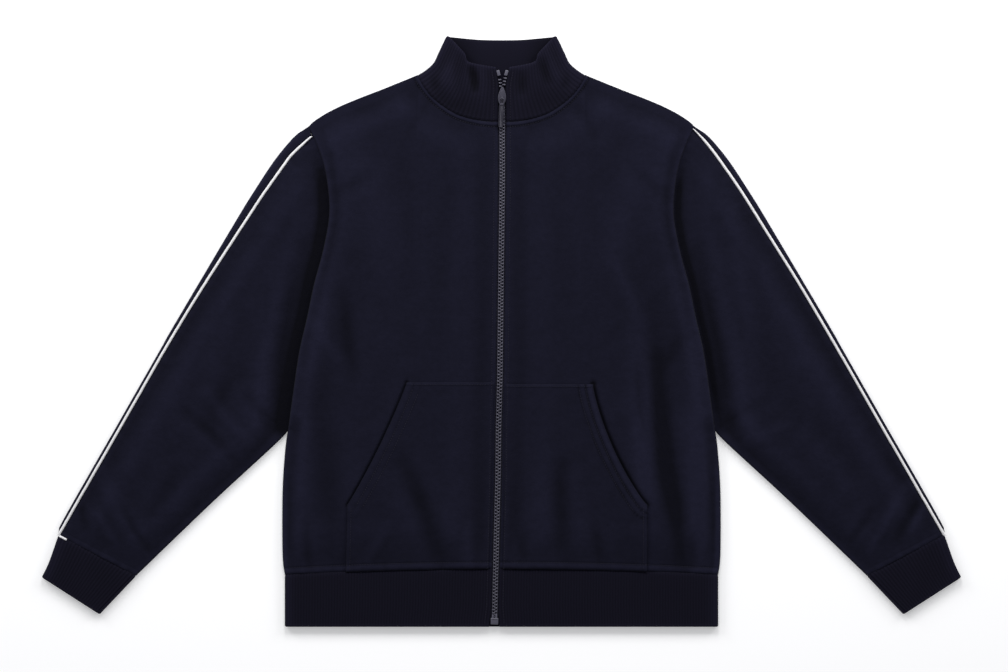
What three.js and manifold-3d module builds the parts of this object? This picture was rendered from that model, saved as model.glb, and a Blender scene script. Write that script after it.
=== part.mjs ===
// A full-zip fleece jacket laid flat on a table, front up, zipped to the top, with its arms spread.
// Millimetres. +Z is up, +Y runs from the hem to the collar, and +X is the wearer's left.
// Heights are measured from the table. While it is built, y = 0 is the hem's lower edge.
import * as THREE from "three";
import { mergeVertices } from "three/addons/utils/BufferGeometryUtils.js";
import Module from "manifold-3d";

const wasm = await Module();
wasm.setup();

// ---------------------------------------------------------------- driving dimensions

const FLEECE = 2.4; // wall of the fleece panels
const RIB_WALL = 3.4; // doubled rib knit of the hem, cuffs and collar
const RIB_PITCH = 3.6;
const RIB_DEPTH = 0.6;
const RIB_EDGE = 1.1; // how far a rib band's free edge is rounded in on each face
const SEAM = 0.3; // gap between sewn pieces
const BODY_FOLD = 3.15; // outer radius where a fleece panel rolls over at the side
const RIB_FOLD = 4.1; // outer radius where a rib band folds at the side
const FOLD_ARC = (BODY_FOLD * Math.PI) / 2;
const FLAT_EDGE = 0.8; // width of the last grid step where a panel's edge lies flat

const HEM_HALF = 281.5; // half width of the hem band
const HEM_SEAM_SIDE = 67; // height up the garment of the hem band's seam, at the sides
const HEM_SEAM_MIDDLE = 75; // and at the zip
const NECK_FRONT = 656.5; // neck seam at the zip
const NECK_BACK = 691; // neck seam at the middle of the back
const NECK_CORNER = { x: 108, y: 717 }; // where the shoulder meets the collar
const SHOULDER_TIP = { x: 252, y: 649 };
const UNDERARM = { x: 277.5, y: 255.5 };
const COLLAR_FRONT_TOP = 727;
const COLLAR_BACK_TOP = 762;

const FRONT_TOP = 7.1; // the front's mean height over the table
const FRONT_LOWEST = 5.2;
const FRONT_HIGHEST = 8.6;
const SLEEVE_TOP = 6.6;
const RIB_TOP = 2 * RIB_FOLD;
const FOLD_MEETS = { front: BODY_FOLD + SEAM / 2, back: BODY_FOLD - SEAM / 2 };

const POCKET_WALL = 2;
const PLACKET = 4.6; // the strip of each front left bare beside the zip
const PIPING = 3.5; // width of the piping bead
const PIPING_GAP = 0.45; // between the bead and the cloth on each side of it
const PIPING_SUNK = 0.6; // how far its middle lies under the sleeve's face

const ZIP = {
  channel: 4.8, // half the gap between the front edges
  channelWidens: 3.6, // more than that at the collar's top
  hemWidens: 1.9, // and at the hem
  chainHalf: 3.3,
  chainLow: 3.7,
  chainHigh: 6.7,
  tapeHalf: 14,
  tapeHigh: 4.5,
  bottom: 3,
  boxTop: 12.5,
  boxHalf: 5,
  boxHigh: 7.4,
  split: 690, // where the rows of teeth part, inside the slider
  stopsTop: 723,
};

const SLIDER = {
  tail: 7, // from the pull's pivot to the lower end
  nose: 15, // and to the upper end
  halfWidth: 5.2,
  noseHalf: 2.8,
  post: 4.4, // half width of the part between the front edges
  low: 7,
  plateLow: 8.5,
  plateHigh: 9.7,
  lean: -2.5, // degrees, turned with the zip
};

const BRIDGE = { half: 3.2, inner: 2, width: 2, tunnel: 2.9, roof: 1 };

const PULL = {
  thick: 1.6,
  length: 38,
  tipHalf: 3.3,
  neckHalf: 3,
  barHalf: 0.8,
  windowHalf: 1.5,
  window: 4.5,
  droop: 2.5, // degrees that its tip hangs below level
};

// Panel grids: steps along each stretch.
const STEPS = {
  hemToMouth: 3,
  mouth: 5,
  armhole: 10,
  forearm: 7,
  zipToPocket: 8,
  pocketToSide: 6,
  backMiddle: 4,
  backSide: 3,
  sleeve: 4,
  fold: 3,
  foldOver: 6,
  zip: 10,
};

// ---------------------------------------------------------------- outlines, right half

// The zip's line.
const ZIP_LINE = [
  { y: 0, x: -9.3 },
  { y: 41, x: -8.3 },
  { y: 132, x: -6.1 },
  { y: 197, x: -4.5 },
  { y: 262, x: -3.8 },
  { y: 327, x: -2 },
  { y: 457, x: -0.6 },
  { y: 587, x: 1.1 },
  { y: 687, x: 0.6 },
  { y: 725, x: 1.3 },
];

const SIDE_SEAM = [
  { x: 281.5, y: 67.4 },
  { x: 284.5, y: 95 },
  { x: 284.5, y: 175 },
  { x: 281, y: 230 },
  UNDERARM,
];

const ARMHOLE = [
  UNDERARM,
  { x: 270.5, y: 307 },
  { x: 263, y: 357 },
  { x: 253, y: 401 },
  { x: 244, y: 444 },
  { x: 232.5, y: 487 },
  { x: 224.5, y: 530 },
  { x: 225, y: 563 },
  { x: 231, y: 599 },
  { x: 242, y: 630 },
  SHOULDER_TIP,
];

const SHOULDER = [
  NECK_CORNER,
  { x: 130, y: 708 },
  { x: 156, y: 697.5 },
  { x: 183, y: 687 },
  { x: 207, y: 677 },
  { x: 229, y: 666 },
  { x: 246, y: 655 },
  SHOULDER_TIP,
];

// The front neck seam from beside the zip to the shoulder.
const NECKLINE = [
  { x: 16, y: 656.5 },
  { x: 28, y: 658 },
  { x: 45, y: 662 },
  { x: 62, y: 668.5 },
  { x: 79, y: 680 },
  { x: 92, y: 692.5 },
  { x: 104, y: 709 },
  NECK_CORNER,
];

const BACK_NECK = [
  { x: 0, y: NECK_BACK },
  { x: 30, y: 691.5 },
  { x: 60, y: 694.5 },
  { x: 86, y: 701 },
  NECK_CORNER,
];

// The collar's side fold from the shoulder up, and its two top edges from the middle out.
const COLLAR_FOLD = [
  { x: 104.6, y: 718.2 },
  { x: 97, y: 723.8 },
  { x: 88.5, y: 732 },
  { x: 82.5, y: 744 },
  { x: 77.4, y: 755 },
  { x: 71, y: 768 },
];
const COLLAR_FRONT_EDGE = [
  { x: 16, y: COLLAR_FRONT_TOP },
  { x: 33, y: 728.5 },
  { x: 41, y: 733 },
  { x: 47, y: 744 },
  { x: 57, y: 755 },
  { x: 66, y: 764.5 },
];
const COLLAR_BACK_EDGE = [
  { x: 0, y: COLLAR_BACK_TOP },
  { x: 30, y: 763 },
  { x: 66, y: 767.5 },
];

const SLEEVE_OUTER = [
  { x: 265, y: 640.5 },
  { x: 275.6, y: 630 },
  { x: 296.4, y: 604 },
  { x: 322, y: 565 },
  { x: 346, y: 526 },
  { x: 423, y: 396 },
  { x: 440, y: 366 },
];
const FOREARM_OUTER = [
  { x: 440, y: 366 },
  { x: 497, y: 266 },
  { x: 571, y: 136 },
  { x: 576, y: 119 },
];
const FOREARM_INNER = [
  UNDERARM,
  { x: 290.5, y: 240 },
  { x: 375, y: 162 },
  { x: 475, y: 66 },
];
const CUFF = {
  seamInner: { x: 475, y: 65.5 },
  seamOuter: { x: 576, y: 118.5 },
  bulgeOuter: { x: 588, y: 84 },
  endInner: { x: 522, y: 16 },
  endOuter: { x: 597.4, y: 64.4 },
};

// Both sides by name. The pocket's mouth runs from mouthFoot up to mouthHead; `piping` gives the
// piping's distance from the sleeve's outer edge at the shoulder, the elbow and the cuff.
const SIDES = {
  right: {
    sign: 1,
    hemAt: { x: 189, y: 72 },
    mouthFoot: { x: 189, y: 159 },
    mouthHead: { x: 119, y: 315 },
    piping: [7.5, 5.6, 5],
  },
  left: {
    sign: -1,
    hemAt: { x: 202, y: 71 },
    mouthFoot: { x: 200, y: 159 },
    mouthHead: { x: 123, y: 317.5 },
    piping: [12, 5.2, 4.8],
  },
};

// Soft folds in the cloth. Each runs from one point to another; `rise` is how high its ridge
// stands, or how deep its trough lies where negative, and it fades out towards its ends.
const FRONT_FOLDS = [
  { x: 205, y: 335, toX: 232, toY: 85, width: 15, rise: -1.9 },
  { x: 178, y: 330, toX: 196, toY: 90, width: 16, rise: 0.9 },
  { x: 252, y: 350, toX: 256, toY: 80, width: 17, rise: 0.8 },
  { x: -125, y: 205, toX: -78, toY: 88, width: 15, rise: -1.1 },
  { x: 80, y: 205, toX: 76, toY: 110, width: 13, rise: -1 },
  { x: -235, y: 300, toX: -215, toY: 90, width: 24, rise: -0.8 },
  { x: -238, y: 440, toX: -262, toY: 290, width: 18, rise: 1 },
  { x: 238, y: 450, toX: 262, toY: 290, width: 18, rise: 1.1 },
  { x: -195, y: 640, toX: -150, toY: 480, width: 34, rise: 0.8 },
  { x: 190, y: 640, toX: 140, toY: 470, width: 34, rise: 0.8 },
  { x: -60, y: 640, toX: -75, toY: 380, width: 30, rise: -0.7 },
  { x: 62, y: 630, toX: 70, toY: 400, width: 30, rise: -0.6 },
];
const SLEEVE_FOLDS = {
  right: [
    { x: 262, y: 470, toX: 290, toY: 275, width: 20, rise: -1.4 },
    { x: 330, y: 450, toX: 420, toY: 290, width: 30, rise: 1 },
    { x: 515, y: 115, toX: 545, toY: 165, width: 9, rise: -0.9 },
    { x: 497, y: 130, toX: 522, toY: 178, width: 9, rise: 0.7 },
    { x: 395, y: 240, toX: 470, toY: 150, width: 20, rise: 0.8 },
    { x: 275, y: 600, toX: 300, toY: 520, width: 24, rise: 0.8 },
  ],
  left: [
    { x: 258, y: 480, toX: 288, toY: 280, width: 20, rise: -1.4 },
    { x: 345, y: 330, toX: 380, toY: 260, width: 13, rise: -1 },
    { x: 385, y: 330, toX: 350, toY: 390, width: 15, rise: 0.8 },
    { x: 480, y: 120, toX: 520, toY: 200, width: 16, rise: 0.8 },
    { x: 420, y: 200, toX: 450, toY: 150, width: 12, rise: -0.6 },
    { x: 280, y: 590, toX: 300, toY: 520, width: 24, rise: 0.9 },
  ],
};
const COLLAR_FOLDS = [
  { x: -36, y: 722, toX: -32, toY: 690, width: 7, rise: -0.9 },
  { x: 56, y: 730, toX: 62, toY: 700, width: 8, rise: -0.8 },
  { x: 26, y: 715, toX: 26, toY: 695, width: 8, rise: -0.4 },
  { x: -80, y: 735, toX: -60, toY: 690, width: 12, rise: 0.5 },
];

const MATERIALS = {
  fleece: { color: "#1b1a27", roughness: 0.95, metalness: 0 },
  rib: { color: "#14141f", roughness: 0.92, metalness: 0 },
  piping: { color: "#e9e8ea", roughness: 0.8, metalness: 0 },
  tape: { color: "#20202c", roughness: 0.9, metalness: 0 },
  zip: { color: "#3c3b48", roughness: 0.45, metalness: 0 },
};

// ---------------------------------------------------------------- small geometry helpers

const { lerp, clamp, degToRad, smoothstep } = THREE.MathUtils;
const UP = new THREE.Vector3(0, 0, 1);

const point = (row, sign = 1) => new THREE.Vector2(sign * row.x, row.y);

// A smooth line through a table's points, read by its share of the length from 0 to 1.
function smoothLine(table, sign = 1) {
  const curve = new THREE.SplineCurve(table.map((row) => point(row, sign)));
  curve.arcLengthDivisions = 400;
  return (t) => curve.getPointAt(clamp(t, 0, 1));
}

const straightLine = (a, b) => (t) => a.clone().lerp(b, t);

// The unit vector across a line at t, on its right as t grows, or on its left with side -1.
function across(line, t, side = 1) {
  const step = 0.004;
  const way = line(Math.min(t + step, 1)).sub(line(Math.max(t - step, 0)));
  return new THREE.Vector2(way.y, -way.x).normalize().multiplyScalar(side);
}

const beside = (line, distance, side) => (t) =>
  line(t).addScaledVector(across(line, t, side), distance);

// A patch filled in from its four edge lines: u runs along bottom and top, v up the sides.
function patch({ bottom, top, left, right }) {
  const corner = [bottom(0), bottom(1), top(0), top(1)];
  return (u, v) => {
    const sum = bottom(u).multiplyScalar(1 - v);
    sum.addScaledVector(top(u), v);
    sum.addScaledVector(left(v), 1 - u);
    sum.addScaledVector(right(v), u);
    sum.addScaledVector(corner[0], -(1 - u) * (1 - v));
    sum.addScaledVector(corner[1], -u * (1 - v));
    sum.addScaledVector(corner[2], -(1 - u) * v);
    sum.addScaledVector(corner[3], -u * v);
    return sum;
  };
}

// A line with its two ends moved to given points.
function pinned(line, start, end) {
  const atStart = start.clone().sub(line(0));
  const atEnd = end.clone().sub(line(1));
  return (t) =>
    line(t)
      .addScaledVector(atStart, (1 - t) ** 2)
      .addScaledVector(atEnd, t * t);
}

const steps = (count) => Array.from({ length: count + 1 }, (_, k) => k / count);

function zipX(y) {
  const next = ZIP_LINE.findIndex((row) => row.y >= y);
  if (next === 0) return ZIP_LINE[0].x;
  if (next < 0) return ZIP_LINE.at(-1).x;
  const low = ZIP_LINE[next - 1];
  const high = ZIP_LINE[next];
  return lerp(low.x, high.x, (y - low.y) / (high.y - low.y));
}

function channel(y) {
  const atTop = ZIP.channelWidens * smoothstep(y, 700, COLLAR_FRONT_TOP);
  const atHem = ZIP.hemWidens * (1 - smoothstep(y, 4, 30));
  return ZIP.channel + atTop + atHem;
}

const zipEdge = (y, sign) => new THREE.Vector2(zipX(y) + sign * channel(y), y);

function hemSeam(x) {
  return lerp(HEM_SEAM_MIDDLE, HEM_SEAM_SIDE, (x / HEM_HALF) ** 2);
}

// The sum of the folds at a point of the cloth.
function foldsAt(folds, x, y) {
  return folds.reduce((sum, fold) => {
    const alongX = fold.toX - fold.x;
    const alongY = fold.toY - fold.y;
    const length = Math.hypot(alongX, alongY);
    const along = ((x - fold.x) * alongX + (y - fold.y) * alongY) / length;
    const off = ((x - fold.x) * alongY - (y - fold.y) * alongX) / length;
    const past = Math.max(0, -along, along - length) / (0.35 * length);
    const ends = Math.min(along, length - along) / (0.3 * length);
    const fade = past > 0 ? Math.exp(-4 * past * past) * 0.6 : 0.6 + 0.4 * clamp(ends, 0, 1);
    return sum + fold.rise * fade * Math.exp(-((off / fold.width) ** 2));
  }, 0);
}

function frontHeight(x, y) {
  const swell = 0.35 * Math.sin(x / 47 + y / 90) + 0.3 * Math.sin(y / 61 - x / 120);
  const free = clamp(FRONT_TOP + swell + foldsAt(FRONT_FOLDS, x, y), FRONT_LOWEST, FRONT_HIGHEST);
  const fromZip = Math.abs(x - zipX(y));
  const overTape = Math.max(free, ZIP.tapeHigh + SEAM + FLEECE + 0.1);
  return lerp(overTape, free, smoothstep(fromZip, ZIP.tapeHalf + 1, ZIP.tapeHalf + 24));
}

function sleeveHeight(side, x, y) {
  const out = Math.abs(x);
  const swell = 0.3 * Math.sin(out / 36 + y / 52) + 0.25 * Math.sin(y / 33);
  const free = SLEEVE_TOP + swell + foldsAt(SLEEVE_FOLDS[side], out, y);
  return clamp(free, FRONT_LOWEST, FRONT_HIGHEST);
}

// ---------------------------------------------------------------- walls of cloth

// One point of a cloth wall's outer face, with the way that the face looks.
function facing(plan, z, out = UP) {
  return { at: new THREE.Vector3(plan.x, plan.y, z), out };
}

const inside = (wallPoint, depth) => wallPoint.at.clone().addScaledVector(wallPoint.out, -depth);

// A closed wall from its outer and inner faces, each a list of rows of points. The inner face may
// have fewer points in a row; `outerAt` and `innerAt` say how far along the row each point is.
function closedWall({ outer, inner, outerAt, innerAt, ring = false }) {
  const rows = outer.length;
  const wide = outer[0].length;
  const narrow = inner[0].length;
  const points = [...outer.flat(), ...inner.flat()];
  const outerId = (r, c) => r * wide + (c % wide);
  const innerId = (r, c) => rows * wide + r * narrow + (c % narrow);
  const faces = [];
  const quad = (a, b, c, d) => faces.push([a, b, c], [a, c, d]);
  for (let r = 0; r < rows - 1; r++) {
    for (let c = 0; c < wide - (ring ? 0 : 1); c++)
      quad(outerId(r, c), outerId(r, c + 1), outerId(r + 1, c + 1), outerId(r + 1, c));
    for (let c = 0; c < narrow - (ring ? 0 : 1); c++)
      quad(innerId(r, c), innerId(r + 1, c), innerId(r + 1, c + 1), innerId(r, c + 1));
  }
  for (const r of [0, rows - 1]) {
    const add = (a, b, c) => faces.push(r ? [a, b, c] : [a, c, b]);
    let i = 0;
    let j = 0;
    const lastOuter = wide - (ring ? 0 : 1);
    const lastInner = narrow - (ring ? 0 : 1);
    while (i < lastOuter || j < lastInner) {
      const nextOuter = i < lastOuter ? (outerAt[i + 1] ?? Infinity) : Infinity;
      const nextInner = j < lastInner ? (innerAt[j + 1] ?? Infinity) : Infinity;
      if (i < lastOuter && (nextOuter <= nextInner || j === lastInner)) {
        add(outerId(r, i), outerId(r, i + 1), innerId(r, j));
        i++;
      } else {
        add(outerId(r, i), innerId(r, j + 1), innerId(r, j));
        j++;
      }
    }
  }
  if (!ring) {
    for (let r = 0; r < rows - 1; r++) {
      quad(outerId(r, 0), outerId(r + 1, 0), innerId(r + 1, 0), innerId(r, 0));
      const last = wide - 1;
      const end = narrow - 1;
      quad(outerId(r, last), innerId(r, end), innerId(r + 1, end), outerId(r + 1, last));
    }
  }
  return solidFrom(points, faces);
}

// An indexed geometry whose faces all look out.
function solidFrom(points, faces) {
  const volume = faces.reduce((sum, [a, b, c]) => {
    const turned = new THREE.Vector3().crossVectors(points[b], points[c]);
    return sum + points[a].dot(turned);
  }, 0);
  const outward = volume > 0 ? faces : faces.map(([a, b, c]) => [a, c, b]);
  const geometry = new THREE.BufferGeometry().setFromPoints(points);
  geometry.setIndex(outward.flat());
  return geometry;
}

// A wall of even thickness from one grid of outer points.
function evenWall(grid, thickness) {
  const places = grid[0].map((_, c) => c);
  return closedWall({
    outer: grid.map((row) => row.map((p) => p.at)),
    inner: grid.map((row) => row.map((p) => inside(p, thickness))),
    outerAt: places,
    innerAt: places,
  });
}

// The points where a face rolls over an edge: `turn` is the angle it has turned at the edge, and
// `reach` runs from 0 to 1 across the roll. `facesUp` is 1 on an upper face and -1 on an under one.
function rolled({ from, outward, z, edgeZ, turn, facesUp }) {
  return (reach) => {
    const angle = turn * reach;
    const radius = turn > 0.01 ? FOLD_ARC / turn : Infinity;
    const over = turn > 0.01 ? radius * Math.sin(angle) : FLAT_EDGE * reach;
    const drop = turn > 0.01 ? (radius * (1 - Math.cos(angle))) / BODY_FOLD : 0;
    const out = new THREE.Vector3(outward.x, outward.y, 0).multiplyScalar(Math.sin(angle));
    out.z = facesUp * Math.cos(angle);
    return facing(from.clone().addScaledVector(outward, over), z + (edgeZ - z) * drop, out);
  };
}

// How far in from the edge a roll starts.
const rollWidth = (turn) => (turn > 0.01 ? (FOLD_ARC * Math.sin(turn)) / turn : FLAT_EDGE);

const HALF_TURN = Math.PI / 2;

// ---------------------------------------------------------------- body panels

// The plan rows of a body panel. Each stretch lies between two key rows, and has an inner line, a
// middle line and the garment's side; `turnAt` is how far the side rolls over there.
function panelRows({ stretches, columns, turnAt, sign }) {
  return stretches.flatMap((stretch, index) => {
    const outward = (t) => across(stretch.side, t, sign);
    const starts = (t) =>
      stretch.side(t).addScaledVector(outward(t), -rollWidth(turnAt(index, t)));
    const middle = patch({
      bottom: stretch.bottom,
      top: stretch.top,
      left: stretch.inner,
      right: stretch.line,
    });
    const hemOut = (t) => {
      const x = lerp(stretch.line(0).x, starts(0).x, t);
      return new THREE.Vector2(x, hemSeam(x) + SEAM / 2);
    };
    const bottomOut = index ? straightLine(stretch.line(0), starts(0)) : hemOut;
    const outer = patch({
      bottom: pinned(bottomOut, stretch.line(0), starts(0)),
      top: stretch.topOut ?? straightLine(stretch.line(1), starts(1)),
      left: stretch.line,
      right: starts,
    });
    const wide = steps(columns[0]);
    const rest = steps(columns[1]).slice(1);
    return steps(stretch.count)
      .slice(index ? 1 : 0)
      .map((t) => ({
        plan: [...wide.map((u) => middle(u, t)), ...rest.map((u) => outer(u, t))],
        outward: outward(t),
        turn: turnAt(index, t),
      }));
  });
}

// The body's side from the hem to the underarm, cut into two stretches, then the armhole.
function sideLines(sign) {
  const seam = smoothLine(SIDE_SEAM, sign);
  const hemShare = 0.42;
  return [
    (t) => seam(t * hemShare),
    (t) => seam(lerp(hemShare, 1, t)),
    smoothLine(ARMHOLE, sign),
  ];
}

function frontRows(name) {
  const { sign, ...side } = SIDES[name];
  const foot = point(side.mouthFoot, sign);
  const head = point(side.mouthHead, sign);
  const fromZip = { x: sign * zipEdge(NECK_FRONT, sign).x, y: NECK_FRONT };
  const neckline = beside(smoothLine([fromZip, ...NECKLINE], sign), SEAM / 2, sign);
  const lines = sideLines(sign);
  const keyY = [HEM_SEAM_MIDDLE + SEAM / 2, foot.y, head.y, neckline(0).y];
  const zipRun = (index) => (t) => zipEdge(lerp(keyY[index], keyY[index + 1], t), sign);
  const hemRun = (t) => {
    const x = lerp(zipEdge(keyY[0], sign).x, sign * side.hemAt.x, t);
    return new THREE.Vector2(x, hemSeam(x) + SEAM / 2);
  };
  const tip = lines[2](1).addScaledVector(across(lines[2], 1, sign), -rollWidth(HALF_TURN));
  const belowMouth = straightLine(zipRun(0)(1), foot);
  const overMouth = straightLine(zipRun(1)(1), head);
  return panelRows({
    columns: [STEPS.zipToPocket, STEPS.pocketToSide],
    turnAt: () => HALF_TURN,
    sign,
    stretches: [
      {
        count: STEPS.hemToMouth,
        side: lines[0],
        inner: zipRun(0),
        line: straightLine(hemRun(1), foot),
        bottom: hemRun,
        top: belowMouth,
      },
      {
        count: STEPS.mouth,
        side: lines[1],
        inner: zipRun(1),
        line: straightLine(foot, head),
        bottom: belowMouth,
        top: overMouth,
      },
      {
        count: STEPS.armhole,
        side: lines[2],
        inner: zipRun(2),
        line: straightLine(head, neckline(1)),
        bottom: overMouth,
        top: neckline,
        topOut: pinned(smoothLine(SHOULDER, sign), neckline(1), tip),
      },
    ],
  });
}

function backRows(sign) {
  const lines = sideLines(sign);
  const neck = beside(smoothLine(BACK_NECK, sign), SEAM / 2, sign);
  const keyY = [HEM_SEAM_MIDDLE + SEAM / 2, lines[0](1).y, UNDERARM.y, neck(0).y];
  const middle = (index) => (t) => new THREE.Vector2(0, lerp(keyY[index], keyY[index + 1], t));
  const quarter = keyY.map((y) => new THREE.Vector2(sign * lerp(150, NECK_CORNER.x, y / 700), y));
  const hemRun = (t) => new THREE.Vector2(sign * 150 * t, hemSeam(150 * t) + SEAM / 2);
  quarter[0] = hemRun(1);
  quarter[3] = neck(1);
  const acrossAt = (index) => straightLine(middle(index)(0), quarter[index]);
  const bottoms = [hemRun, acrossAt(1), acrossAt(2)];
  const tops = [bottoms[1], bottoms[2], neck];
  const tip = lines[2](1).addScaledVector(across(lines[2], 1, sign), -rollWidth(0));
  const counts = [STEPS.hemToMouth, STEPS.mouth, STEPS.armhole];
  return panelRows({
    columns: [STEPS.backMiddle, STEPS.backSide],
    turnAt: (index, t) => (index < 2 && !(index === 1 && t === 1) ? HALF_TURN : 0),
    sign,
    stretches: counts.map((count, index) => ({
      count,
      side: lines[index],
      inner: middle(index),
      line: straightLine(quarter[index], quarter[index + 1]),
      bottom: bottoms[index],
      top: tops[index],
      topOut: index === 2 ? pinned(smoothLine(SHOULDER, sign), quarter[3], tip) : undefined,
    })),
  });
}

// A body panel's outer points: its plan lifted to its height, then the roll at its side.
function panelFace(rows, heightAt, facesUp, edgeZ) {
  const out = new THREE.Vector3(0, 0, facesUp);
  return rows.map(({ plan, outward, turn }) => {
    const from = plan.at(-1);
    const z = heightAt(from.x, from.y);
    const roll = rolled({ from, outward, z, edgeZ, turn, facesUp });
    const flat = plan.map((p) => facing(p, heightAt(p.x, p.y), out));
    return [...flat, ...steps(STEPS.fold).slice(1).map(roll)];
  });
}

const frontFace = (name) => panelFace(frontRows(name), frontHeight, 1, FOLD_MEETS.front);

function front(name) {
  return evenWall(frontFace(name), FLEECE);
}

function back() {
  const flat = () => 0;
  const half = (sign) => panelFace(backRows(sign), flat, -1, FOLD_MEETS.back);
  const left = half(-1).map((row) => row.slice(1).reverse());
  return evenWall(half(1).map((row, r) => [...left[r], ...row]), FLEECE);
}

// A row of a front's points, starting a strip's width in from the zip.
function besidePlacket([edge, next, ...rest]) {
  const share = PLACKET / edge.at.distanceTo(next.at);
  return [{ at: edge.at.clone().lerp(next.at, share), out: edge.out }, next, ...rest];
}

// A patch pocket: the front's own points under it, moved out. It starts beside the bare strip.
function pocket(name) {
  const rows = STEPS.hemToMouth + STEPS.mouth + 1;
  const under = frontFace(name)
    .slice(0, rows)
    .map((row) => besidePlacket(row.slice(0, STEPS.zipToPocket + 1)));
  const lifted = under.map((row) =>
    row.map(({ at, out }) => ({ at: at.clone().addScaledVector(out, SEAM + POCKET_WALL), out })),
  );
  return evenWall(lifted, POCKET_WALL);
}

// ---------------------------------------------------------------- sleeves

// Each row of a sleeve: its inner edge, its outer edge, the ways out of both and the piping's inset.
// At the tip of the shoulder the way out is along the row itself, which is only a finger wide.
function sleeveRows(name) {
  const { sign, piping } = SIDES[name];
  const armhole = smoothLine(ARMHOLE, sign);
  const upper = {
    inner: (t) => beside(armhole, SEAM, sign)(1 - t),
    outer: smoothLine(SLEEVE_OUTER, sign),
    count: STEPS.armhole,
    turn: () => 0,
    innerWay: (t) => across(armhole, 1 - t, -sign),
    inset: (t) => lerp(piping[0], piping[1], t),
  };
  const underarm = smoothLine(FOREARM_INNER, sign);
  const shift = across(armhole, 0, sign).multiplyScalar(SEAM);
  const lower = {
    inner: (t) => underarm(t).addScaledVector(shift, 1 - t),
    outer: smoothLine(FOREARM_OUTER, sign),
    count: STEPS.forearm,
    turn: (t) => (t > 0 ? HALF_TURN : 0),
    innerWay: (t) => across(underarm, t, sign).lerp(across(armhole, 0, -sign), t > 0 ? 0 : 1),
    inset: (t) => lerp(piping[1], piping[2], t),
  };
  const rowsOf = (part, first) =>
    steps(part.count)
      .slice(first)
      .map((t) => {
        const inner = part.inner(t);
        const outer = part.outer(t);
        const isTip = part === upper && t === 0;
        return {
          inner,
          innerWay: part.innerWay(t),
          turn: part.turn(t),
          outer,
          outerWay: isTip ? outer.clone().sub(inner).normalize() : across(part.outer, t, -sign),
          inset: Math.min(part.inset(t), 0.6 * inner.distanceTo(outer)),
        };
      });
  return [...rowsOf(upper, 0), ...rowsOf(lower, 1)];
}

// How far along the sleeve's outer roll, from its outermost line, a distance in from it lies.
function rollAt(distance) {
  if (distance >= BODY_FOLD) return FOLD_ARC + distance - BODY_FOLD;
  return BODY_FOLD * Math.acos(1 - distance / BODY_FOLD);
}

// A point of the sleeve's outer roll; `run` is measured over the cloth from its outermost line.
function onOuterRoll(name, row, run) {
  const angle = clamp(run / BODY_FOLD, -HALF_TURN, HALF_TURN);
  const past = Math.max(0, run - FOLD_ARC);
  const plan = row.outer.clone();
  plan.addScaledVector(row.outerWay, -BODY_FOLD * (1 - Math.cos(angle)) - past);
  const high = sleeveHeight(name, plan.x, plan.y);
  const z = BODY_FOLD + (angle < 0 ? BODY_FOLD : high - BODY_FOLD) * Math.sin(angle);
  const out = new THREE.Vector3(row.outerWay.x, row.outerWay.y, 0).multiplyScalar(Math.cos(angle));
  out.z = Math.sin(angle);
  return facing(plan, z, out);
}

function sleeveFront(name) {
  const reach = PIPING / 2 + PIPING_GAP;
  const grid = sleeveRows(name).map((row) => {
    const from = row.inner.clone().addScaledVector(row.innerWay, -rollWidth(row.turn));
    const end = row.outer.clone().addScaledVector(row.outerWay, -row.inset - reach);
    const height = (p) => sleeveHeight(name, p.x, p.y);
    const roll = rolled({
      from,
      outward: row.innerWay,
      z: height(from),
      edgeZ: FOLD_MEETS.front,
      turn: row.turn,
      facesUp: 1,
    });
    return [
      ...steps(STEPS.fold).slice(1).reverse().map(roll),
      ...steps(STEPS.sleeve).map((u) => from.clone().lerp(end, u)).map((p) => facing(p, height(p))),
    ];
  });
  return evenWall(grid, FLEECE);
}

// The back of the sleeve wraps round the outer edge and ends at the piping.
function sleeveBack(name) {
  const down = new THREE.Vector3(0, 0, -1);
  const grid = sleeveRows(name).map((row) => {
    const from = row.inner.clone().addScaledVector(row.innerWay, -rollWidth(row.turn));
    const end = row.outer.clone().addScaledVector(row.outerWay, -BODY_FOLD);
    const roll = rolled({
      from,
      outward: row.innerWay,
      z: 0,
      edgeZ: FOLD_MEETS.back,
      turn: row.turn,
      facesUp: -1,
    });
    const last = rollAt(row.inset - PIPING / 2 - PIPING_GAP);
    return [
      ...steps(STEPS.fold).slice(1).reverse().map(roll),
      ...steps(STEPS.sleeve).map((u) => facing(from.clone().lerp(end, u), 0, down)),
      ...steps(STEPS.foldOver)
        .slice(1)
        .map((t) => onOuterRoll(name, row, lerp(-FOLD_ARC, last, t))),
    ];
  });
  return evenWall(grid, FLEECE);
}

// A round bead along the sleeve's front seam.
function piping(name) {
  const sides = 8;
  const rings = sleeveRows(name).map((row) => {
    const seam = onOuterRoll(name, row, rollAt(row.inset));
    const middle = row.outer.clone().addScaledVector(row.outerWay, -row.inset);
    return Array.from({ length: sides }, (_, k) => {
      const angle = (2 * Math.PI * (k + 0.5)) / sides;
      const plan = middle.clone().addScaledVector(row.outerWay, (PIPING / 2) * Math.cos(angle));
      const z = seam.at.z - PIPING_SUNK + (PIPING / 2) * Math.sin(angle);
      return new THREE.Vector3(plan.x, plan.y, z);
    });
  });
  return tubeOf(rings);
}

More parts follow.
